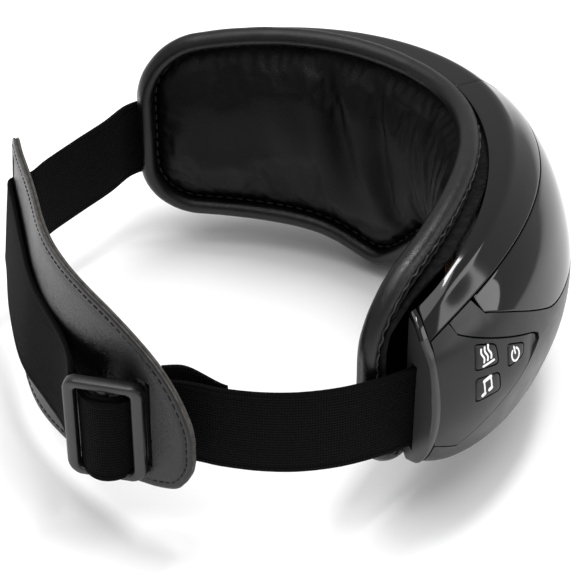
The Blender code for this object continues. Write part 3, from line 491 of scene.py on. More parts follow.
def profile(t):
    """The housing's outer profile at t: fine (n, z) points and the distance to each."""
    key = round(t, 6)
    if key in PROFILES:
        return PROFILES[key]
    s = abs(math.degrees(t)) / PROFILE_ANGLE
    rows = [[even_curve(row[0][i], row[1][i], row[2][i], s) for i in (0, 1)] for row in PROFILE]
    drop = cheek(rim(t)[0])
    rows[-2][1] += 0.7 * drop
    rows[-1][1] = max(rows[-1][1] + 1.6 * drop, 0.0)
    rows = [np.array(row) for row in rows]
    points = []
    for i in range(len(rows) - 1):
        p1, p2 = rows[i], rows[i + 1]
        p0 = rows[i - 1] if i > RIDGE_ROW else 2 * p1 - p2
        p3 = rows[i + 2] if i + 2 < len(rows) and i + 1 != RIDGE_ROW else 2 * p2 - p1
        for u in np.arange(STEPS) / STEPS:
            points.append(0.5 * (2 * p1 + (p2 - p0) * u + (2 * p0 - 5 * p1 + 4 * p2 - p3) * u * u
                                 + (3 * p1 - p0 - 3 * p2 + p3) * u ** 3))
    points = np.array(points + [rows[-1]])
    points[:, 1] = np.maximum(points[:, 1], 0.0)
    spans = np.linalg.norm(np.diff(points, axis=0), axis=1)
    PROFILES[key] = (points, np.concatenate(([0.0], np.cumsum(spans))))
    return PROFILES[key]


RIDGE_ROUND = 1.6


def spot_at(t, d):
    """The profile point at distance d, with the ridge rounded."""
    points, run = profile(t)

    def raw(x):
        return np.array([np.interp(x, run, points[:, 0]), np.interp(x, run, points[:, 1])])

    ridge = run[RIDGE_ROW * STEPS]
    if abs(d - ridge) < RIDGE_ROUND:
        u = (d - ridge + RIDGE_ROUND) / (2 * RIDGE_ROUND)
        before, after = raw(ridge - RIDGE_ROUND), raw(ridge + RIDGE_ROUND)
        return before * (1 - u) ** 2 + raw(ridge) * 2 * u * (1 - u) + after * u * u
    return raw(d)


def on_skin(t, d, depth=0.0):
    """The point at distance d along the profile at t, depth inward."""
    here = spot_at(t, d)
    if depth:
        way = spot_at(t, d + 0.06) - spot_at(t, d - 0.06)
        way = way / max(np.linalg.norm(way), 1e-9)
        here = here + np.array([way[1], -way[0]]) * depth
    return place_housing(t, float(here[0]), float(here[1]))


def to_row(t, row):
    """Distance along the profile to one of its rows."""
    return float(profile(t)[1][row * STEPS])


def to_height(t, z):
    """Distance along the profile to height z, past the ridge."""
    points, run = profile(t)
    first = RIDGE_ROW * STEPS
    heights = np.minimum.accumulate(points[first:, 1])
    return float(np.interp(-min(z, heights[0]), -heights, run[first:]))


def by_height(t, z, depth=0.0):
    return on_skin(t, to_height(t, z), depth)


def bent(edge, angle, soften=0.0):
    """Height of a bent line at an angle, its corners softened over a few degrees."""
    xs, ys = [p[0] for p in edge], [p[1] for p in edge]
    if soften:
        return float(np.mean([np.interp(abs(angle + k * soften), xs, ys) for k in (-1, -0.5, 0, 0.5, 1)]))
    return float(np.interp(angle, xs, ys))


def spread(start, end, step):
    count = max(2, int(round(abs(end - start) / step)) + 1)
    return [float(a) for a in np.linspace(start, end, count)]


# ------------------------------------------------------------------ housing
def skin_piece(name, grid, mat, wall=1.5, bevel=0.22, skip=None):
    """An open skin from a grid of points, with a wall behind it. skip(i, j) leaves a face out."""
    columns = len(grid[0])
    faces = [f for f in quads(len(grid), columns)
             if skip is None or not skip(f[0] // columns, f[0] % columns)]
    item = make_mesh(name, [p for row in grid for p in row], faces, mat)
    work = bmesh.new()
    work.from_mesh(item.data)
    bmesh.ops.delete(work, geom=[v for v in work.verts if not v.link_faces], context="VERTS")
    bmesh.ops.remove_doubles(work, verts=work.verts, dist=0.00001)
    bmesh.ops.recalc_face_normals(work, faces=work.faces)
    centre = Vector((0.0, -0.02, 0.045))
    if sum((f.calc_center_median() - centre).dot(f.normal) * f.calc_area() for f in work.faces) < 0:
        bmesh.ops.reverse_faces(work, faces=work.faces)
    work.to_mesh(item.data)
    work.free()
    return finish_edges(item, wall, bevel)


def skin_row(t, start, end, steps):
    """Points across the skin at t, from one distance along its profile to another."""
    return [on_skin(t, start + (end - start) * j / steps) for j in range(steps + 1)]


SIDES = ((-1, "right"), (1, "left"))
for side, word in SIDES:
    turns = [math.radians(side * a) for a in spread(0.1, END_ANGLE, 0.9)]
    grid = [skin_row(t, 0.0, to_row(t, VISOR_ROW), 22) for t in turns]
    cover = skin_piece("cover_" + word, grid, MATS["gloss"], HOUSING_WALL, 0.3)
    claim(cover, "mask", ["top_cover_" + word])

grid = []
for a in spread(-VISOR_END, VISOR_END, 1.0):
    t = math.radians(a)
    edge = to_height(t, bent(VISOR_EDGE, abs(a), VISOR_SOFTEN))
    grid.append(skin_row(t, to_row(t, VISOR_ROW) + GAP, edge - 0.05, 16))
claim(skin_piece("visor", grid, MATS["visor"], HOUSING_WALL, 0.25), "mask", ["front_visor"])


def shell_rows(a):
    """Distances along the profile that bound the shell's bands at an angle."""
    t, angle = math.radians(a), abs(a)
    edge = bent(VISOR_EDGE, angle, VISOR_SOFTEN)
    top = to_row(t, VISOR_ROW) + GAP if angle > VISOR_END + 0.1 else to_height(t, edge) + GAP
    if angle < PANEL_START:
        upper = min(50.0, edge - 1.5)
        first, second = to_height(t, upper), to_height(t, upper - 2.0)
    else:
        first = to_height(t, bent(PANEL_TOP, angle))
        second = to_height(t, bent(PANEL_BASE, angle))
    first = max(first, top)
    return top, first, max(second, first), to_row(t, len(PROFILE) - 1)


fine = [PANEL_START, 47.5, 47.9, 48.3, 48.7, 49.2, 50.0] + spread(51.0, 66.0, 1.0)
fine += [66.4, 66.8, PANEL_PEAK] + spread(68.0, END_ANGLE, 0.8)
half = spread(0.0, 46.0, 1.15)[1:] + fine
stations = [-a for a in half[::-1]] + [0.0] + half
BANDS = (8, 5, 18)
grid = []
for a in stations:
    marks = shell_rows(a)
    row = []
    for k, count in enumerate(BANDS):
        step = (marks[k + 1] - marks[k]) / count
        row += [on_skin(math.radians(a), marks[k] + step * j) for j in range(count)]
    grid.append(row + [on_skin(math.radians(a), marks[3])])


def in_opening(i, j):
    """True where the shell is open for a side panel; behind its peak the opening reaches the top cover."""
    low = min(abs(stations[i]), abs(stations[i + 1])) + 0.01
    if low < PANEL_START:
        return False
    return j < BANDS[0] + BANDS[1] if low >= PANEL_PEAK else BANDS[0] <= j < BANDS[0] + BANDS[1]


shell = skin_piece("lower_shell", grid, MATS["satin"], HOUSING_WALL, 0.25, in_opening)
claim(shell, "mask", ["front_shell"])


def panel_end(z):
    """The panel's rear border, in degrees along the rim, at height z."""
    return 73.2 + 2.3 * max(0.0, 1.0 - ((z - 47.5) / 17.0) ** 2)


def panel_grid(side):
    """The skin inside the panel's outline, with a finger dip at its front corner and a bowed rear border."""
    grid = []
    columns = [47.75, 48.1, 48.5, 49.0, 49.6] + spread(50.4, 66.2, 0.9)
    columns += [66.6, 67.0, 67.5] + spread(68.2, END_ANGLE, 0.7)
    for a in columns:
        t = math.radians(side * a)
        border = to_row(t, VISOR_ROW) + GAP
        top = max(border, to_height(t, bent(PANEL_TOP, a - 0.3)) + GAP)
        base = to_height(t, bent(PANEL_BASE, a)) - GAP
        share = min(1.0, max(0.0, (a - 60.0) / (END_ANGLE - 60.0)))
        share = share * share * (3 - 2 * share)
        row = []
        for j in range(31):
            d = top + (base - top) * j / 30
            z = float(spot_at(t, d)[1])
            moved = math.radians(side * (a + share * (panel_end(z) - END_ANGLE)))
            sink = 0.75 * math.exp(-((a - 48.6) / 2.0) ** 2) * math.exp(-((z - 48.5) / 5.0) ** 2)
            d_moved = to_row(moved, VISOR_ROW) + GAP if top == border and j == 0 else to_height(moved, z)
            row.append(on_skin(moved, d_moved, sink))
        grid.append(row)
    return grid


# ------------------------------------------------------------------ buttons and their signs
def local_scale(angle, z):
    """Millimetres along the skin for one degree, at a place on the right side."""
    return math.dist(by_height(math.radians(-angle + 0.5), z), by_height(math.radians(-angle - 0.5), z))


def rounded(outline, radius, grow=0.0, steps=6):
    """The outline with rounded corners, grown by grow, still as (degrees, z), and its middle."""
    mid_a = sum(p[0] for p in outline) / len(outline)
    mid_z = sum(p[1] for p in outline) / len(outline)
    scale = local_scale(mid_a, mid_z)
    flat = [Vector(((mid_a - a) * scale, z - mid_z)) for a, z in outline]
    area = sum(p.x * q.y - q.x * p.y for p, q in zip(flat, flat[1:] + flat[:1]))
    if area < 0:
        flat.reverse()
    count = len(flat)
    grown = []
    for i in range(count):
        a, b, c = flat[i - 1], flat[i], flat[(i + 1) % count]
        u, v = (b - a).normalized(), (c - b).normalized()
        n1, n2 = Vector((u.y, -u.x)), Vector((v.y, -v.x))
        grown.append(b + (n1 + n2) * (grow / (1.0 + n1.dot(n2))))
    result = []
    for i in range(count):
        a, b, c = grown[i - 1], grown[i], grown[(i + 1) % count]
        reach = min(radius, (a - b).length * 0.45, (c - b).length * 0.45)
        start, end = b + (a - b).normalized() * reach, b + (c - b).normalized() * reach
        for k in range(steps + 1):
            u = k / steps
            result.append(start * (1 - u) ** 2 + b * (2 * u * (1 - u)) + end * u * u)
    return [(mid_a - p.x / scale, p.y + mid_z) for p in result], (mid_a, mid_z)


def button_way(outline):
    """The unit vector in which a button is pressed."""
    a = math.radians(-sum(p[0] for p in outline) / len(outline))
    z = sum(p[1] for p in outline) / len(outline)
    return (Vector(by_height(a, z, 1.0)) - Vector(by_height(a, z))).normalized()


BUTTONS = (("heat", HEAT_OUTLINE), ("music", MUSIC_OUTLINE), ("power", POWER_OUTLINE))
BUTTON_CORNER = 1.7
panel = skin_piece("panel_right", panel_grid(-1), MATS["panel"], PANEL_WALL, 0.0)
cutters = []
for name, outline in BUTTONS:
    way = button_way(outline)
    loop = [Vector(by_height(math.radians(-a), z)) for a, z in rounded(outline, BUTTON_CORNER)[0]]
    ends = [[tuple(p + way * shift) for p in loop] for shift in (-3.0, 5.0)]
    cutters.append(loft("cut_" + name, ends, MATS["panel"]))
panel.modifiers.remove(panel.modifiers["shading"])
boolean_cut(panel, cutters, 40.0)
finish_edges(panel, 0.0, 0.16)
claim(panel, "mask", ["control_panel_right"])
panel = skin_piece("panel_left", panel_grid(1), MATS["panel"], PANEL_WALL, 0.22)
claim(panel, "mask", ["side_panel_left"])


# From the skirt to the middle of the cap: (share of its outline, depth under the skin).
BUTTON_SECTION = ((1.0, 3.2), (1.0, 0.35), (0.985, 0.1), (0.95, -0.04),
                  (0.88, -0.1), (0.66, -0.1), (0.33, -0.1))


def make_button(name, outline):
    """A cap that follows the skin, with rounded edges and a skirt below."""
    ring, middle = rounded(outline, BUTTON_CORNER - 0.2, -0.34)
    count = len(ring)
    points = []
    for share, depth in BUTTON_SECTION:
        for a, z in ring:
            angle = middle[0] + (a - middle[0]) * share
            height = middle[1] + (z - middle[1]) * share
            points.append(by_height(math.radians(-angle), height, depth))
    faces = quads(len(BUTTON_SECTION), count, False, True)
    points.append(by_height(math.radians(-middle[0]), middle[1], -0.1))
    top, apex = len(points) - 1 - count, len(points) - 1
    faces += [(top + j, top + (j + 1) % count, apex) for j in range(count)]
    faces.append(tuple(range(count)))
    cap = face_out(make_mesh(name + "_cap", points, faces, MATS["button"], True, 60.0))
    claim(cap, name + "_button", [name + "_button"])


for name, outline in BUTTONS:
    make_button(name, outline)


STROKE_END = 5


def round_end(tip, before, width):
    """Points round the end of a stroke."""
    way = (tip - before).normalized()
    across = Vector((-way.y, way.x))
    turns = [math.pi * k / (STROKE_END + 1) for k in range(1, STROKE_END + 1)]
    return [tip + across * (math.cos(a) * width / 2) + way * (math.sin(a) * width / 2) for a in turns]


def stroke(points, width, centre):
    """A thin printed line on the skin through flat points, right and up from centre in millimetres."""
    scale = local_scale(*centre)
    path = [Vector(p) for p in points]
    flat_left, flat_right = [], []
    for i, p in enumerate(path):
        way = (path[min(i + 1, len(path) - 1)] - path[max(i - 1, 0)]).normalized()
        across = Vector((-way.y, way.x)) * width / 2
        flat_left.append(p + across)
        flat_right.append(p - across)
    loop = flat_left + round_end(path[-1], path[-2], width)
    loop += flat_right[::-1] + round_end(path[0], path[1], width)
    count = len(loop)
    solid = []
    for depth in (-0.14, 0.0):
        for p in loop:
            solid.append(by_height(math.radians(-(centre[0] - p.x / scale)), centre[1] + p.y, depth))
    n = len(path)
    back = n + STROKE_END
    faces = []
    for base in (0, count):
        for i in range(n - 1):
            right = base + back + n - 1 - i
            faces.append((base + i, base + i + 1, right - 1, right))
        faces.append(tuple(base + k for k in range(n - 1, back + 1)))
        faces.append(tuple(base + k for k in [*range(back + n - 1, count), 0]))
    for i in range(count):
        k = (i + 1) % count
        faces.append((i, k, count + k, count + i))
    return solid, faces


def arc_line(centre_y, radius_x, radius_y, start, end, count):
    """Points on an arc above and below centre_y, between two angles in degrees."""
    turns = [math.radians(start + (end - start) * i / (count - 1)) for i in range(count)]
    return [(radius_x * math.cos(a), centre_y + radius_y * math.sin(a)) for a in turns]


def wavy(x, low, high):
    """One rising line of the heat sign."""
    return [(x + 0.34 * math.sin(2 * math.pi * i / 14) + 0.22 * (i / 14 - 0.5), low + (high - low) * i / 14)
            for i in range(15)]


HEAT_AT, MUSIC_AT, POWER_AT = (61.7, 55.9), (63.0, 47.5), (54.8, 51.0)
heat_lines = [stroke(wavy(x, -1.0, 2.7), 0.62, HEAT_AT) for x in (-1.45, 0.0, 1.45)]
heat_lines.append(stroke([(-2.2, -2.0), (0.0, -2.0), (2.2, -2.0)], 0.6, HEAT_AT))
claim(join("heat_icon", heat_lines, MATS["icon"]), "heat_button")
notes = [stroke([(-0.9, -1.9), (-0.9, 0.0), (-0.9, 2.3)], 0.55, MUSIC_AT),
         stroke([(1.75, -1.2), (1.75, 0.6), (1.75, 2.6)], 0.55, MUSIC_AT),
         stroke([(-0.9, 2.0), (0.4, 2.2), (1.75, 2.4)], 1.0, MUSIC_AT),
         stroke([(-1.75, -2.15), (-1.35, -2.0), (-1.0, -1.9)], 1.15, MUSIC_AT),
         stroke([(0.85, -1.45), (1.25, -1.3), (1.6, -1.2)], 1.15, MUSIC_AT)]
claim(join("music_icon", notes, MATS["icon"]), "music_button")
power = [stroke(arc_line(-0.2, 1.75, 1.85, 122.0, 418.0, 25), 0.6, POWER_AT),
         stroke([(0.0, 0.2), (0.0, 1.2), (0.0, 2.1)], 0.6, POWER_AT)]
claim(join("power_icon", power, MATS["icon"]), "power_button")


# ------------------------------------------------------------------ end walls
def end_ring(t, shrink, shift, count=44):
    """The housing's closed outline at t, drawn in by shrink and moved along the rim by shift."""
    nx, ny = rim_normal(t)
    tangent = Vector((-ny, nx)) * math.copysign(1.0, t)
    total = to_row(t, len(PROFILE) - 1)
    flat = []
    for j in range(count + 1):
        d = total * j / count
        here = spot_at(t, d)
        way = spot_at(t, min(d + 0.06, total)) - spot_at(t, max(d - 0.06, 0.0))
        way = way / max(np.linalg.norm(way), 1e-9)
        flat.append(here + np.array([way[1], -way[0]]) * shrink)
    first, last = flat[0], flat[-1]
    flat += [np.array([last[0] - 1.0, last[1] + 1.0]), np.array([first[0], first[1] - 2.0])]
    ring = []
    for p in flat:
        x, y, z = place_housing(t, float(p[0]), float(p[1]))
        ring.append((x + tangent.x * shift, y + tangent.y * shift, z))
    return ring


def block(name, centre, size, turn=0.0):
    """A cutter box, turned about Z."""
    corners = [(x, y, z) for x in (-0.5, 0.5) for y in (-0.5, 0.5) for z in (-0.5, 0.5)]
    c, s = math.cos(math.radians(turn)), math.sin(math.radians(turn))
    points = []
    for x, y, z in corners:
        x, y, z = x * size[0], y * size[1], z * size[2]
        points.append((centre[0] + c * x - s * y, centre[1] + s * x + c * y, centre[2] + z))
    faces = [(0, 1, 3, 2), (4, 6, 7, 5), (0, 4, 5, 1), (2, 3, 7, 6), (0, 2, 6, 4), (1, 5, 7, 3)]
    return face_out(make_mesh(name, points, faces, MATS["frame"], False))


END_ROUNDING = ((0.3, 0.05), (0.25, 1.0), (0.3, 1.7), (0.5, 2.25), (0.9, 2.65), (1.5, 2.8))
WALL_TOP = 0.0655
for side, word in SIDES:
    t = math.radians(side * END_ANGLE)
    rings = [end_ring(t, shrink, shift) for shrink, shift in END_ROUNDING]
    # The end wall's sides take the lighter wall colour, painted light on the rear-facing wall; its top takes
    # the gloss.
    cap = loft("end_wall_" + word, rings, [MATS["wall"], MATS["gloss"]], False, 55.0)
    x = (STRAP_RIGHT if side < 0 else STRAP_LEFT)[1][0]
    middle = (x, TEMPLE_Y - 10.0, WEBBING_LOW + WEBBING_WIDTH / 2)
    boolean_cut(cap, [block("slot_cutter", middle, (3.0, 26.0, 29.2))])
    for poly in cap.data.polygons:
        poly.material_index = 1 if poly.center.z > WALL_TOP else 0
    claim(finish_edges(cap, 0.0, 0.15), "mask", ["end_cap_" + word])


# ------------------------------------------------------------------ cushion
def evened(loop, count=0, spacing=1.0):
    """A closed list of points in a plane, spread out evenly: count of them, or one at each spacing."""
    raw = np.array(loop + loop[:1])
    run = np.concatenate(([0.0], np.cumsum(np.linalg.norm(np.diff(raw, axis=0), axis=1))))
    marks = np.linspace(0.0, run[-1], count or int(run[-1] / spacing), endpoint=False)
    return [(float(np.interp(m, run, raw[:, 0])), float(np.interp(m, run, raw[:, 1]))) for m in marks]


def outline_height(arc, inset):
    """Lower and upper edge of the cushion's outline at a distance along the rim."""
    t = angle_at(arc)
    corner = CUSHION_CORNER - inset
    past = abs(arc) - (RIM_ARC - inset - corner)
    drop = corner - math.sqrt(max(corner * corner - past * past, 0.0)) if past > 0.0 else 0.0
    slope = rim_base(angle_at(arc + 0.5)) - rim_base(angle_at(arc - 0.5))
    return rim_base(t) + inset * math.hypot(1.0, slope) + drop, rim_top(t) - inset - drop


def outline_loop(inset, count):
    """Evenly spaced (arc, z) points once round the cushion's outline, inset from its edge."""
    end = RIM_ARC - inset
    corner = CUSHION_CORNER - inset
    arcs = list(np.linspace(0.0, end - corner, 160)) + [end - corner + corner * math.sin(math.radians(a))
                                                        for a in np.linspace(1.5, 90.0, 60)]
    sweep = [-a for a in arcs[:0:-1]] + arcs
    raw = [(a, outline_height(a, inset)[1]) for a in sweep]
    raw += [(a, outline_height(a, inset)[0]) for a in sweep[::-1]]
    return evened(raw, count)


def loop_way(loop, i):
    """Unit vector along a closed list of points at point i."""
    before, after = loop[i - 1], loop[(i + 1) % len(loop)]
    return Vector((after[0] - before[0], after[1] - before[1])).normalized()


# Folds in the cushion's leather: (arc at the top, arc at the foot, z top, z foot, width, depth).
FOLDS = ((47.0, 36.0, 80.0, 36.0, 4.5, 1.5), (30.0, 14.0, 78.0, 28.0, 3.6, 1.5),
         (64.0, 56.0, 78.0, 40.0, 7.0, -0.9), (38.0, 26.0, 74.0, 36.0, 3.6, -0.8),
         (-4.0, -3.0, 70.0, 32.0, 1.4, 0.6), (-9.0, -7.0, 68.0, 30.0, 1.5, 0.6),
         (-14.0, -11.0, 66.0, 32.0, 1.8, 0.6), (-20.0, -16.0, 66.0, 34.0, 2.2, 0.6),
         (4.0, 2.0, 62.0, 28.0, 1.7, 0.6), (10.0, 5.0, 56.0, 26.0, 1.8, 0.5),
         (-34.0, -28.0, 70.0, 40.0, 4.0, 0.6))


def fold_depth(arc, z):
    """How far the folds and the short crease push the leather back at a place."""
    total = 0.0
    for top_arc, foot_arc, top_z, foot_z, width, depth in FOLDS:
        u = (top_z - z) / (top_z - foot_z)
        line = top_arc + (foot_arc - top_arc) * u + 1.6 * math.sin(3.0 * u + top_arc)
        fade = math.exp(-((u - 0.5) / 0.52) ** 4)
        off = (arc - line) / width
        total += depth * fade * (math.exp(-off * off) - 0.55 * math.exp(-((off - 1.7) / 1.1) ** 2))
    crease = 1.5 * math.exp(-((arc + 0.5) / 1.0) ** 2 - ((z - 70.0) / 6.0) ** 2)
    return total + crease


def cushion_point(arc, v, inset):
    """A point of the cushion's face, v from -1 at its foot to 1 at its top, and its distance to the edge."""
    low, high = outline_height(arc, inset)
    middle, half = (low + high) / 2, (high - low) / 2
    z = middle + half * v
    across = (1.0 - abs(v)) * half
    along = max(RIM_ARC - inset - abs(arc), 0.0)
    edge = 1.0 / math.sqrt(1.0 / (across * across + 1e-4) + 1.0 / (along * along + 1e-4))
    lift = 1.0 - math.exp(-(edge / 4.6) ** 1.15)
    puff = 0.9 - 8.0 * lift * (0.86 + 0.14 * min(1.0, edge / 24.0))
    strength = min(1.0, edge / 7.0)
    soft = noise.noise(Vector((arc * 0.045, z * 0.05, 3.1))) * 1.1 * strength
    pleat = 0.0
    if edge < 10.0:
        run = arc if across < along else z
        wander = 2.0 * noise.noise(Vector((run * 0.1, 7.0, 0.0)))
        pleat = 0.22 * math.sin(run * 1.5 + wander) * math.exp(-edge / 3.5)
    return place(angle_at(arc), puff + soft + pleat + fold_depth(arc, z) * strength, z), edge


FACE_INSET = 2 * PIPING_RADIUS + 0.5
corner = CUSHION_CORNER - FACE_INSET
straight = RIM_ARC - FACE_INSET - corner
half_arcs = list(np.linspace(0.0, straight, 84))
half_arcs += [straight + corner * math.sin(math.radians(a)) for a in np.linspace(6.0, 88.5, 15)]
arcs = [-a for a in half_arcs[:0:-1]] + half_arcs
rows = [math.sin(math.radians(a)) for a in np.linspace(-90.0, 90.0, 49)]
spots = [cushion_point(arc, v, FACE_INSET) for arc in arcs for v in rows]
pins = [edge < 1.2 for point, edge in spots]
points = [point for point, edge in spots]
face = make_mesh("cushion_face", points, quads(len(arcs), len(rows)), MATS["leather"])
face_out(face)


def swell(item, pins, frames, limit):
    """Lets the leather settle as cloth over its filling, pinned at its seam, moving at most limit metres."""
    start = np.array([v.co[:] for v in item.data.vertices])
    group = item.vertex_groups.new(name="seam")
    group.add([i for i, pinned in enumerate(pins) if pinned], 1.0, "REPLACE")
    cloth = item.modifiers.new("cloth", "CLOTH")
    cloth.settings.quality = 5
    cloth.settings.mass = 0.25
    cloth.settings.tension_stiffness = 18
    cloth.settings.compression_stiffness = 18
    cloth.settings.shear_stiffness = 8
    cloth.settings.bending_stiffness = 0.6
    cloth.settings.shrink_min = -0.035
    cloth.settings.use_pressure = True
    cloth.settings.uniform_pressure_force = 1.6
    cloth.settings.vertex_group_mass = "seam"
    cloth.settings.effector_weights.gravity = 0.0
    cloth.collision_settings.use_collision = False
    cloth.point_cache.frame_start = 1
    cloth.point_cache.frame_end = frames
    scene = bpy.context.scene
    for number in range(1, frames + 1):
        scene.frame_set(number)
    moved = item.evaluated_get(bpy.context.evaluated_depsgraph_get()).to_mesh()
    after = np.array([v.co[:] for v in moved.vertices])
    item.modifiers.clear()
    scene.frame_set(1)
    step = after - start
    size = np.linalg.norm(step, axis=1, keepdims=True)
    step *= np.minimum(1.0, limit / np.maximum(size, 1e-9))
    if np.isfinite(step).all():
        item.data.vertices.foreach_set("co", (start + step).ravel())
        item.data.update()


swell(face, pins, 14, 0.0022)
back = face.modifiers.new("wall", "SOLIDIFY")
back.thickness = 1.0 * MM
back.offset = -1.0
smooth = face.modifiers.new("smooth", "SUBSURF")
smooth.levels = smooth.render_levels = 1
claim(face, "mask", ["face_cushion"])

count = 420
loop = outline_loop(PIPING_RADIUS, count)
rings = []
for i, (arc, z) in enumerate(loop):
    way = loop_way(loop, i)
    swing = 0.08 * noise.noise(Vector((i * 0.2, 0.0, 1.0)))
    radius = PIPING_RADIUS + 0.25 + swing
    ring = []
    for j in range(16):
        turn = 2 * math.pi * j / 16
        out = radius * math.cos(turn)
        lift = -1.4 + 1.12 * radius * math.sin(turn)
        ring.append(place(angle_at(arc - way.y * out), lift, z + way.x * out))
    rings.append(ring)
claim(loft("piping", rings, MATS["piping"], True, 80.0), "mask", ["cushion_piping"])


def capsule(centre, way, length, radius):
    """A short fat thread stitch as a solid."""
    way = way.normalized()
    side = way.cross(Vector((0.3, 0.2, 1.0))).normalized()
    up = way.cross(side)
    points, faces = [], []
    for share, girth in ((-0.5, 0.45), (-0.36, 0.95), (0.0, 1.0), (0.36, 0.95), (0.5, 0.45)):
        for j in range(6):
            turn = math.pi * j / 3
            points.append(centre + way * (length * share)
                          + (side * math.cos(turn) + up * math.sin(turn)) * (radius * girth))
    faces = quads(5, 6, False, True) + [tuple(range(6)), tuple(range(24, 30))]
    return points, faces


loop = outline_loop(2 * PIPING_RADIUS + 0.85, 150)
stitches = []
for i, (arc, z) in enumerate(loop):
    here = Vector(place(angle_at(arc), -0.95, z))
    ahead = loop[(i + 1) % len(loop)]
    way = Vector(place(angle_at(ahead[0]), -0.95, ahead[1])) - here
    stitches.append(capsule(here + way * 0.5, way, way.length * 0.66, 0.3))
claim(join("cushion_stitches", stitches, MATS["thread"]), "mask", ())

count = 420
outer, inner = outline_loop(4.4, count), outline_loop(5.9, count)
rings = []
for i in range(count):
    (arc, z), (arc_in, z_in) = outer[i], inner[i]
    t, t_in = angle_at(arc), angle_at(arc_in)
    near_end = min(1.0, max(0.0, (abs(math.degrees(t)) - 55.0) / 12.0))
    far = 5.0 * (1.0 - near_end) + 2.4 * near_end
    if z > 45.0:
        limit = float(spot_at(t, 0.0)[1]) - 2.4
        z, z_in = min(z, limit), min(z_in, limit - 1.2)
    ripple = 0.22 * math.sin(i * 0.9) + 0.35 * noise.noise(Vector((i * 0.2, 5.0, 0.0)))
    rings.append([place(t, 0.9, z - 0.3), place(t, 0.5 * (1.2 + far), z + ripple * 0.6),
                  place(t, far - 0.3, z + ripple), place(t, far, z - 0.5),
                  place(t_in, far, z_in), place(t_in, 0.9, z_in)])
claim(loft("skirt", rings, MATS["textile"], True, 60.0), "mask", ["cushion_skirt"])

path = outline_loop(3.0, 900)
centres = []
for i, (arc, z) in enumerate(path):
    way = loop_way(path, i)
    sway = 0.38 * math.sin(i * 2 * math.pi / 7.0)
    lift = 1.75 + 0.15 * math.sin(i * 0.7)
    centres.append(Vector(place(angle_at(arc - way.y * sway), lift, z + way.x * sway)))
rings = []
for i, centre in enumerate(centres):
    way = (centres[(i + 1) % len(centres)] - centres[i - 1]).normalized()
    side = way.cross(Vector((0.2, 0.1, 1.0))).normalized()
    up = way.cross(side)
    rings.append([tuple(centre + (side * math.cos(a) + up * math.sin(a)) * 0.3)
                  for a in (0.0, 1.257, 2.513, 3.77, 5.027)])
claim(loft("binding", rings, MATS["binding"], True, 180.0), "mask", ())


# ------------------------------------------------------------------ webbing
def smooth_path(points, count):
    """Evenly spread points on a smooth curve through the given points."""
    rows = [Vector(p) for p in points]
    fine = []
    for i in range(len(rows) - 1):
        p1, p2 = rows[i], rows[i + 1]
        p0 = rows[i - 1] if i else 2 * p1 - p2
        p3 = rows[i + 2] if i + 2 < len(rows) else 2 * p2 - p1
        for j in range(16):
            u = j / 16
            fine.append(0.5 * (2 * p1 + (p2 - p0) * u + (2 * p0 - 5 * p1 + 4 * p2 - p3) * u * u
                               + (3 * p1 - p0 - 3 * p2 + p3) * u ** 3))
    fine = np.array([p[:] for p in fine + [rows[-1]]])
    run = np.concatenate(([0.0], np.cumsum(np.linalg.norm(np.diff(fine, axis=0), axis=1))))
    marks = np.linspace(0.0, run[-1], count)
    return [Vector([float(np.interp(m, run, fine[:, k])) for k in range(fine.shape[1])]) for m in marks]


# Half of a band's section: (share of its width, share of its thickness), with a firmer cord inside each edge.
BAND = ((0.0, 0.2), (0.008, 0.42), (0.03, 0.52), (0.055, 0.5), (0.075, 0.40), (0.1, 0.47), (0.3, 0.49),
        (0.5, 0.5),
        (0.7, 0.49), (0.9, 0.47), (0.925, 0.40), (0.945, 0.5), (0.97, 0.52), (0.992, 0.42), (1.0, 0.2))


def weave_map(item, marks):
    """Gives a piece its UVs, one for each point."""
    layer = item.data.uv_layers.new(name="weave")
    for corner in item.data.loops:
        layer.data[corner.index].uv = marks[corner.vertex_index]
    return item


def band(name, tops, bases, thick, mat):
    """A webbing band between an upper and a lower edge path, both lists of Vectors in millimetres.
    Its UVs are millimetres along and across the band."""
    rings, marks = [], []
    run = 0.0
    last = None
    count = len(tops)
    for i in range(count):
        middle = (tops[i] + bases[i]) / 2
        run += (middle - last).length if last is not None else 0.0
        last = middle
        way = (tops[min(i + 1, count - 1)] - tops[max(i - 1, 0)]
               + bases[min(i + 1, count - 1)] - bases[max(i - 1, 0)]).normalized()
        up = (tops[i] - bases[i])
        width = up.length
        across = way.cross(up.normalized()).normalized()
        ring, uv = [], []
        for share, girth in BAND:
            ring.append(bases[i] + up * share + across * (thick * girth))
            uv.append((run, share * width))
        for share, girth in BAND[::-1]:
            ring.append(bases[i] + up * share - across * (thick * girth))
            uv.append((run, share * width))
        rings.append([tuple(p) for p in ring])
        marks += uv
    return weave_map(loft(name, rings, mat, False, 60.0), marks)


def upright(points, low, high, count):
    """Upper and lower edge paths of a band that stands on edge along a plan path."""
    path = smooth_path(points, count)
    tops, bases = [], []
    for i, p in enumerate(path):
        u = i / (count - 1)
        tops.append(Vector((p.x, p.y + TEMPLE_Y, high(u))))
        bases.append(Vector((p.x, p.y + TEMPLE_Y, low(u))))
    return tops, bases


HIGH = WEBBING_LOW + WEBBING_WIDTH
# (name, side, plan, points, waves of its lower and upper edge, how much narrower it is than the webbing)
STRAPS = (("near", "right", STRAP_RIGHT, 110, 9, 7, 0.3), ("far", "left", STRAP_LEFT, 100, 8, 6, 0.8))
for (name, word, plan, count, wave_low, wave_high, drop), (side, _) in zip(STRAPS, SIDES):
    tops, bases = upright(plan, lambda u: WEBBING_LOW + 0.15 * math.sin(wave_low * u),
                          lambda u: HIGH - drop + 0.2 * math.sin(wave_high * u), count)
    strap = band(name + "_strap", tops, bases, 1.4, MATS["webbing"])
    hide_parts("strap_" + word)
    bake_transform(strap)

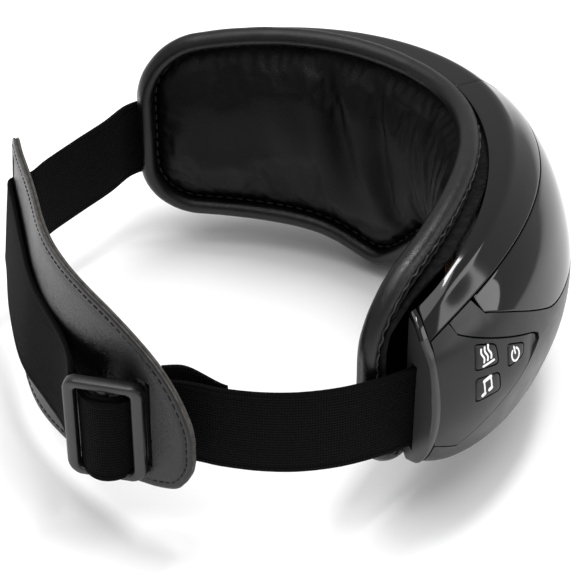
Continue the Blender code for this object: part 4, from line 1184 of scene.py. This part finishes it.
tops, bases = upright(STRAP_TAIL, lambda u: WEBBING_LOW + 3.0,
                      lambda u: HIGH - 1.6 + 4.4 * math.sin(min(1.0, u * 1.35) * math.pi / 2) ** 2, 36)
claim(band("strap_tail_end", tops, bases, 1.0, MATS["webbing"]), "strap_pad", ["strap_tail"])

top_path, base_path = smooth_path(OUTER_TOP, 100), smooth_path(OUTER_BASE, 100)
tops = [Vector((p.x, p.y + TEMPLE_Y, 54.8 - 3.2 * i / 99)) for i, p in enumerate(top_path)]
bases = [Vector((p.x, p.y + TEMPLE_Y, 27.0 - 3.2 * i / 99)) for i, p in enumerate(base_path)]
claim(band("outer_strap", tops, bases, 1.4, MATS["webbing"]), "strap_pad", ["outer_webbing"])


# ------------------------------------------------------------------ leather head pad
def pad_lean(x):
    """How far the pad's top leans forward at x."""
    return 8.0 * math.exp(-((x - 20.0) / 46.0) ** 2)


PAD_STEPS = 240
pad_path = smooth_path([row[:2] for row in PAD_PLAN], PAD_STEPS + 1)
pad_low = smooth_path([(row[0], row[2]) for row in PAD_PLAN], 600)
pad_high = smooth_path([(row[0], row[3]) for row in PAD_PLAN], 600)
LOW_X, LOW_Z = np.array([p.x for p in pad_low])[::-1], np.array([p.y for p in pad_low])[::-1]
HIGH_X, HIGH_Z = np.array([p.x for p in pad_high])[::-1], np.array([p.y for p in pad_high])[::-1]
PATH_XY = np.array([p[:] for p in pad_path])
PATH_RUN = np.concatenate(([0.0], np.cumsum(np.linalg.norm(np.diff(PATH_XY, axis=0), axis=1))))


def pad_foot(run):
    """The plan place at a distance along the pad's foot."""
    return Vector([float(np.interp(run, PATH_RUN, PATH_XY[:, axis])) for axis in (0, 1)])


def pad_spot(run, z, off):
    """A point of the head pad: run along its foot, height z, off outward from its middle."""
    here = pad_foot(run)
    way = (pad_foot(run + 0.4) - pad_foot(run - 0.4)).normalized()
    lean = pad_lean(here.x) * (z - PAD_FOOT) / PAD_HEIGHT
    return here.x + way.y * off, here.y - lean - way.x * off + TEMPLE_Y, z


def pad_bounds(run):
    """The pad's lower and upper edge at a distance along its foot."""
    x = pad_foot(run).x
    return float(np.interp(x, LOW_X, LOW_Z)), float(np.interp(x, HIGH_X, HIGH_Z))


marks = [PATH_RUN[-1] * (0.5 - 0.5 * math.cos(math.pi * i / 150)) for i in range(151)]
edge_loop = [(m, pad_bounds(m)[0]) for m in marks] + [(m, pad_bounds(m)[1]) for m in marks[::-1]]
EDGE = np.array(edge_loop + edge_loop[:1])


def edge_distance(run, z):
    """Distance from a place on the pad to the nearest point of its edge."""
    a, b = EDGE[:-1], EDGE[1:]
    p = np.array([run, z])
    ab = b - a
    share = np.clip(((p - a) * ab).sum(1) / np.maximum((ab * ab).sum(1), 1e-9), 0.0, 1.0)
    return float(np.sqrt((((a + ab * share[:, None]) - p) ** 2).sum(1)).min())


half = LEATHER_THICK / 2
LIP = ((0.05, 0.26), (0.45, 0.0), (0.05, -0.26))
ROWS = 26
rings = []
for m in marks:
    low, high = pad_bounds(m)
    front, rear = [], []
    for j in range(ROWS + 1):
        v = 0.5 - 0.5 * math.cos(math.pi * j / ROWS)
        z = low + (high - low) * v
        gap = edge_distance(m, z)
        girth = half * (1.0 - 0.32 * math.exp(-gap / 0.5))
        girth -= 0.30 * math.exp(-((gap - 2.0) / 0.55) ** 2)
        puffed = girth + 0.25 * (1.0 - math.exp(-gap / 8.0))
        puffed += 0.12 * noise.noise(Vector((m * 0.07, z * 0.07, 0.0)))
        front.append(pad_spot(m, z, puffed))
        rear.append(pad_spot(m, z, -girth))
    ring = front + [pad_spot(m, high - inward, off) for inward, off in LIP]
    ring += rear[::-1] + [pad_spot(m, low + inward, off) for inward, off in LIP[::-1]]
    rings.append(ring)
pad = loft("head_pad_leather", rings, [MATS["pad"], MATS["lining"], MATS["raw_edge"]], False, 50.0)
count = len(rings[0])
for poly in pad.data.polygons:
    spots = {k % count for k in poly.vertices}
    poly.material_index = 2
    if len(poly.vertices) <= 4 and all(k <= ROWS for k in spots):
        poly.material_index = 0
    elif len(poly.vertices) <= 4 and all(ROWS + 4 <= k <= 2 * ROWS + 4 for k in spots):
        poly.material_index = 1
cutters = [block("pad_slot", (x, y + TEMPLE_Y, z), (3.6, 14.0, tall - 0.6), math.copysign(22.0, x))
           for x, y, z, tall in SLOTS]
boolean_cut(pad, cutters)
claim(pad, "strap_pad", ["head_pad"])


def inset_loop(gap, spacing):
    """Points (run, z) round the pad, gap inside its edge, evenly spaced."""
    raw = []
    closed = EDGE[:-1]
    n = len(closed)
    for i in range(n):
        way = closed[(i + 1) % n] - closed[i - 1]
        way = way / max(np.linalg.norm(way), 1e-9)
        p = closed[i] + np.array([-way[1], way[0]]) * gap
        if edge_distance(p[0], p[1]) > gap * 0.93:
            raw.append(p)
    return evened(raw, spacing=spacing)


loop = inset_loop(2.0, 2.6)
stitches = []
for i, (m, z) in enumerate(loop):
    nxt = loop[(i + 1) % len(loop)]
    for off in (half - 0.16, 0.16 - half):
        here, there = Vector(pad_spot(m, z, off)), Vector(pad_spot(nxt[0], nxt[1], off))
        if (there - here).length < 5.0:
            run = there - here
            stitches.append(capsule(here * 0.6 + there * 0.4, run, run.length * 0.68, 0.24))
claim(join("pad_stitches", stitches, MATS["thread"]), "strap_pad", ())


# ------------------------------------------------------------------ buckle
way = Vector((*BUCKLE_TANGENT, 0.0)).normalized()
out = Vector((way.y, -way.x, 0.0))
BUCKLE = Matrix((way, out, Vector((0.0, 0.0, 1.0)))).transposed().to_4x4()
BUCKLE.translation = Vector((BUCKLE_CENTRE[0], BUCKLE_CENTRE[1] + TEMPLE_Y, BUCKLE_CENTRE[2]))


def in_buckle(x, y, z):
    """A place in the buckle's frame, bowed a little round the head."""
    return tuple(BUCKLE @ Vector((x, y - 0.010 * x * x, z)))


def round_box(half_x, half_z, radius, count):
    """Points round a rectangle with rounded corners."""
    points = []
    for cx, cz, start in ((1, 1, 0.0), (-1, 1, 90.0), (-1, -1, 180.0), (1, -1, 270.0)):
        for k in range(count // 4):
            a = math.radians(start + 90.0 * k / (count // 4 - 1))
            points.append((cx * (half_x - radius) + radius * math.cos(a),
                           cz * (half_z - radius) + radius * math.sin(a)))
    return points


length, height, thick = BUCKLE_SIZE
BUCKLE_ROUND, BUCKLE_RING = 14, 48
HOLE_X, HOLE_Z = 7.9, 14.2
sections = []
for k in range(BUCKLE_ROUND):
    turn = 2 * math.pi * k / BUCKLE_ROUND
    c, s = math.cos(turn), math.sin(turn)
    share = 0.5 + 0.5 * math.copysign(abs(c) ** 0.5, c)
    y = (thick / 2 + 0.15) * math.copysign(abs(s) ** 0.55, s)
    half_x, half_z = HOLE_X + (length / 2 - HOLE_X) * share, HOLE_Z + (height / 2 - HOLE_Z) * share
    sections += [in_buckle(x, y, z) for x, z in round_box(half_x, half_z, 1.6 + 2.4 * share, BUCKLE_RING)]
faces = quads(BUCKLE_ROUND, BUCKLE_RING, True, True)
buckle = face_out(make_mesh("buckle_frame", sections, faces, MATS["buckle"], True, 60.0))
claim(buckle, "buckle", ["adjuster_buckle"])
turns = np.linspace(0, 2 * math.pi, 12, endpoint=False)
rings = [[in_buckle(1.7 * math.cos(a), 1.2 * math.sin(a), z) for a in turns]
         for z in np.linspace(-14.6, 14.6, 5)]
claim(loft("buckle_bar", rings, MATS["buckle"], False, 60.0), "buckle", ())

HALF_LOOP = ((7.5, -2.2), (6.8, -1.0), (5.2, 0.8), (3.0, 2.4))
LOOP_PATH = [(-x, y) for x, y in HALF_LOOP] + [(0.0, 3.1)] + list(HALF_LOOP[::-1])


def wrap(name, path, low, high, thick, bulge):
    """Webbing round the bar: a band whose lower edge is drawn out over the bottom bar."""
    line = smooth_path(path, 40)
    rings, marks = [], []
    for i, p in enumerate(line):
        along = (line[min(i + 1, 39)] - line[max(i - 1, 0)]).normalized()
        across = Vector((-along.y, along.x))
        ring, uv = [], []
        for sign, order in ((1, BAND), (-1, BAND[::-1])):
            for share, girth in order:
                z = low + (high - low) * share
                push = bulge * max(0.0, 1.0 - (z - low) / 7.0) ** 1.5
                x, y = p.x + sign * across.x * thick * girth, p.y + sign * across.y * thick * girth
                rise = 0.5 * math.cos(x * 0.35) * share
                ring.append(in_buckle(x * (1.0 + 0.03 * push), y + push, z + rise))
                uv.append((i * 0.6, share * (high - low)))
        rings.append(ring)
        marks += uv
    return weave_map(loft(name, rings, MATS["webbing"], False, 60.0), marks)


claim(wrap("buckle_loop", LOOP_PATH, -15.2, 11.6, 1.3, 0.7), "buckle", ["buckle_webbing_loop"])
inner_path = [(x * 0.96, y - 1.2) for x, y in LOOP_PATH]
claim(wrap("buckle_loop_inner", inner_path, -13.0, 12.6, 0.9, 0.0), "buckle", ())

# ------------------------------------------------------------------ finishes of the CAD pieces that stay
slots = {s["node"]: s["material_slot"] for s in frame["record"]["subparts"]}
for name, item in frame["nodes"].items():
    finish = MATS.get(slots.get(name), MATS["frame"])
    for place_at in item.material_slots:
        place_at.material = finish

# ------------------------------------------------------------------ studio
FLOOR_HALF = 6000
paper = Shader("pale_floor", (0.93, 0.93, 0.93), 0.6, 0.2).vary_roughness(4.0, 0.55, 0.65).mat
corners = [(x * FLOOR_HALF, y * FLOOR_HALF, -0.2) for x, y in ((-1, -1), (1, -1), (1, 1), (-1, 1))]
floor = make_mesh("studio_floor", corners, [(0, 1, 2, 3)], paper, False)
floor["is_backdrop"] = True


def area_light(name, at, towards, size, power, along=(0.0, 1.0, 0.0)):
    data = bpy.data.lights.new(name, "AREA")
    data.shape = "RECTANGLE"
    data.size, data.size_y = size
    data.energy = power
    item = bpy.data.objects.new(name, data)
    bpy.context.scene.collection.objects.link(item)
    item.location = at
    item.rotation_mode = "QUATERNION"
    away = (Vector(at) - Vector(towards)).normalized()
    across = Vector(along).cross(away).normalized()
    item.rotation_quaternion = Matrix((across, away.cross(across), away)).transposed().to_quaternion()
    return item


area_light("overhead", (0.0, 0.1, 1.25), (0.0, 0.0, 0.05), (1.4, 1.1), 12.0)
area_light("left_box", (-0.55, -0.75, 0.55), (0.0, 0.0, 0.05), (0.3, 0.7), 2.5)
area_light("strip_box", (0.03, -0.29, 1.15), (0.03, -0.2, 0.0), (0.13, 0.5), 5.5, (-0.573, 0.819, 0.0))

world = bpy.data.worlds.new("studio")
bpy.context.scene.world = world
world.use_nodes = True
world.node_tree.nodes["Background"].inputs["Color"].default_value = (1.0, 1.0, 1.0, 1.0)
world.node_tree.nodes["Background"].inputs["Strength"].default_value = 0.55
bpy.context.scene.view_settings.view_transform = "Standard"

# ------------------------------------------------------------------ camera
turn, rise = math.radians(63.22), math.radians(36.59)
back_way = Vector((-math.sin(turn) * math.cos(rise), math.cos(turn) * math.cos(rise), math.sin(rise)))
camera = bpy.data.objects.new("camera", bpy.data.cameras.new("camera"))
bpy.context.scene.collection.objects.link(camera)
camera.data.sensor_width = 36.0
camera.data.lens = 126.0
camera.location = (-0.4438, 0.2223, 0.3961)
camera.rotation_mode = "QUATERNION"
camera.rotation_quaternion = (-back_way).to_track_quat("-Z", "Y")
bpy.context.scene.camera = camera

low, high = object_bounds()
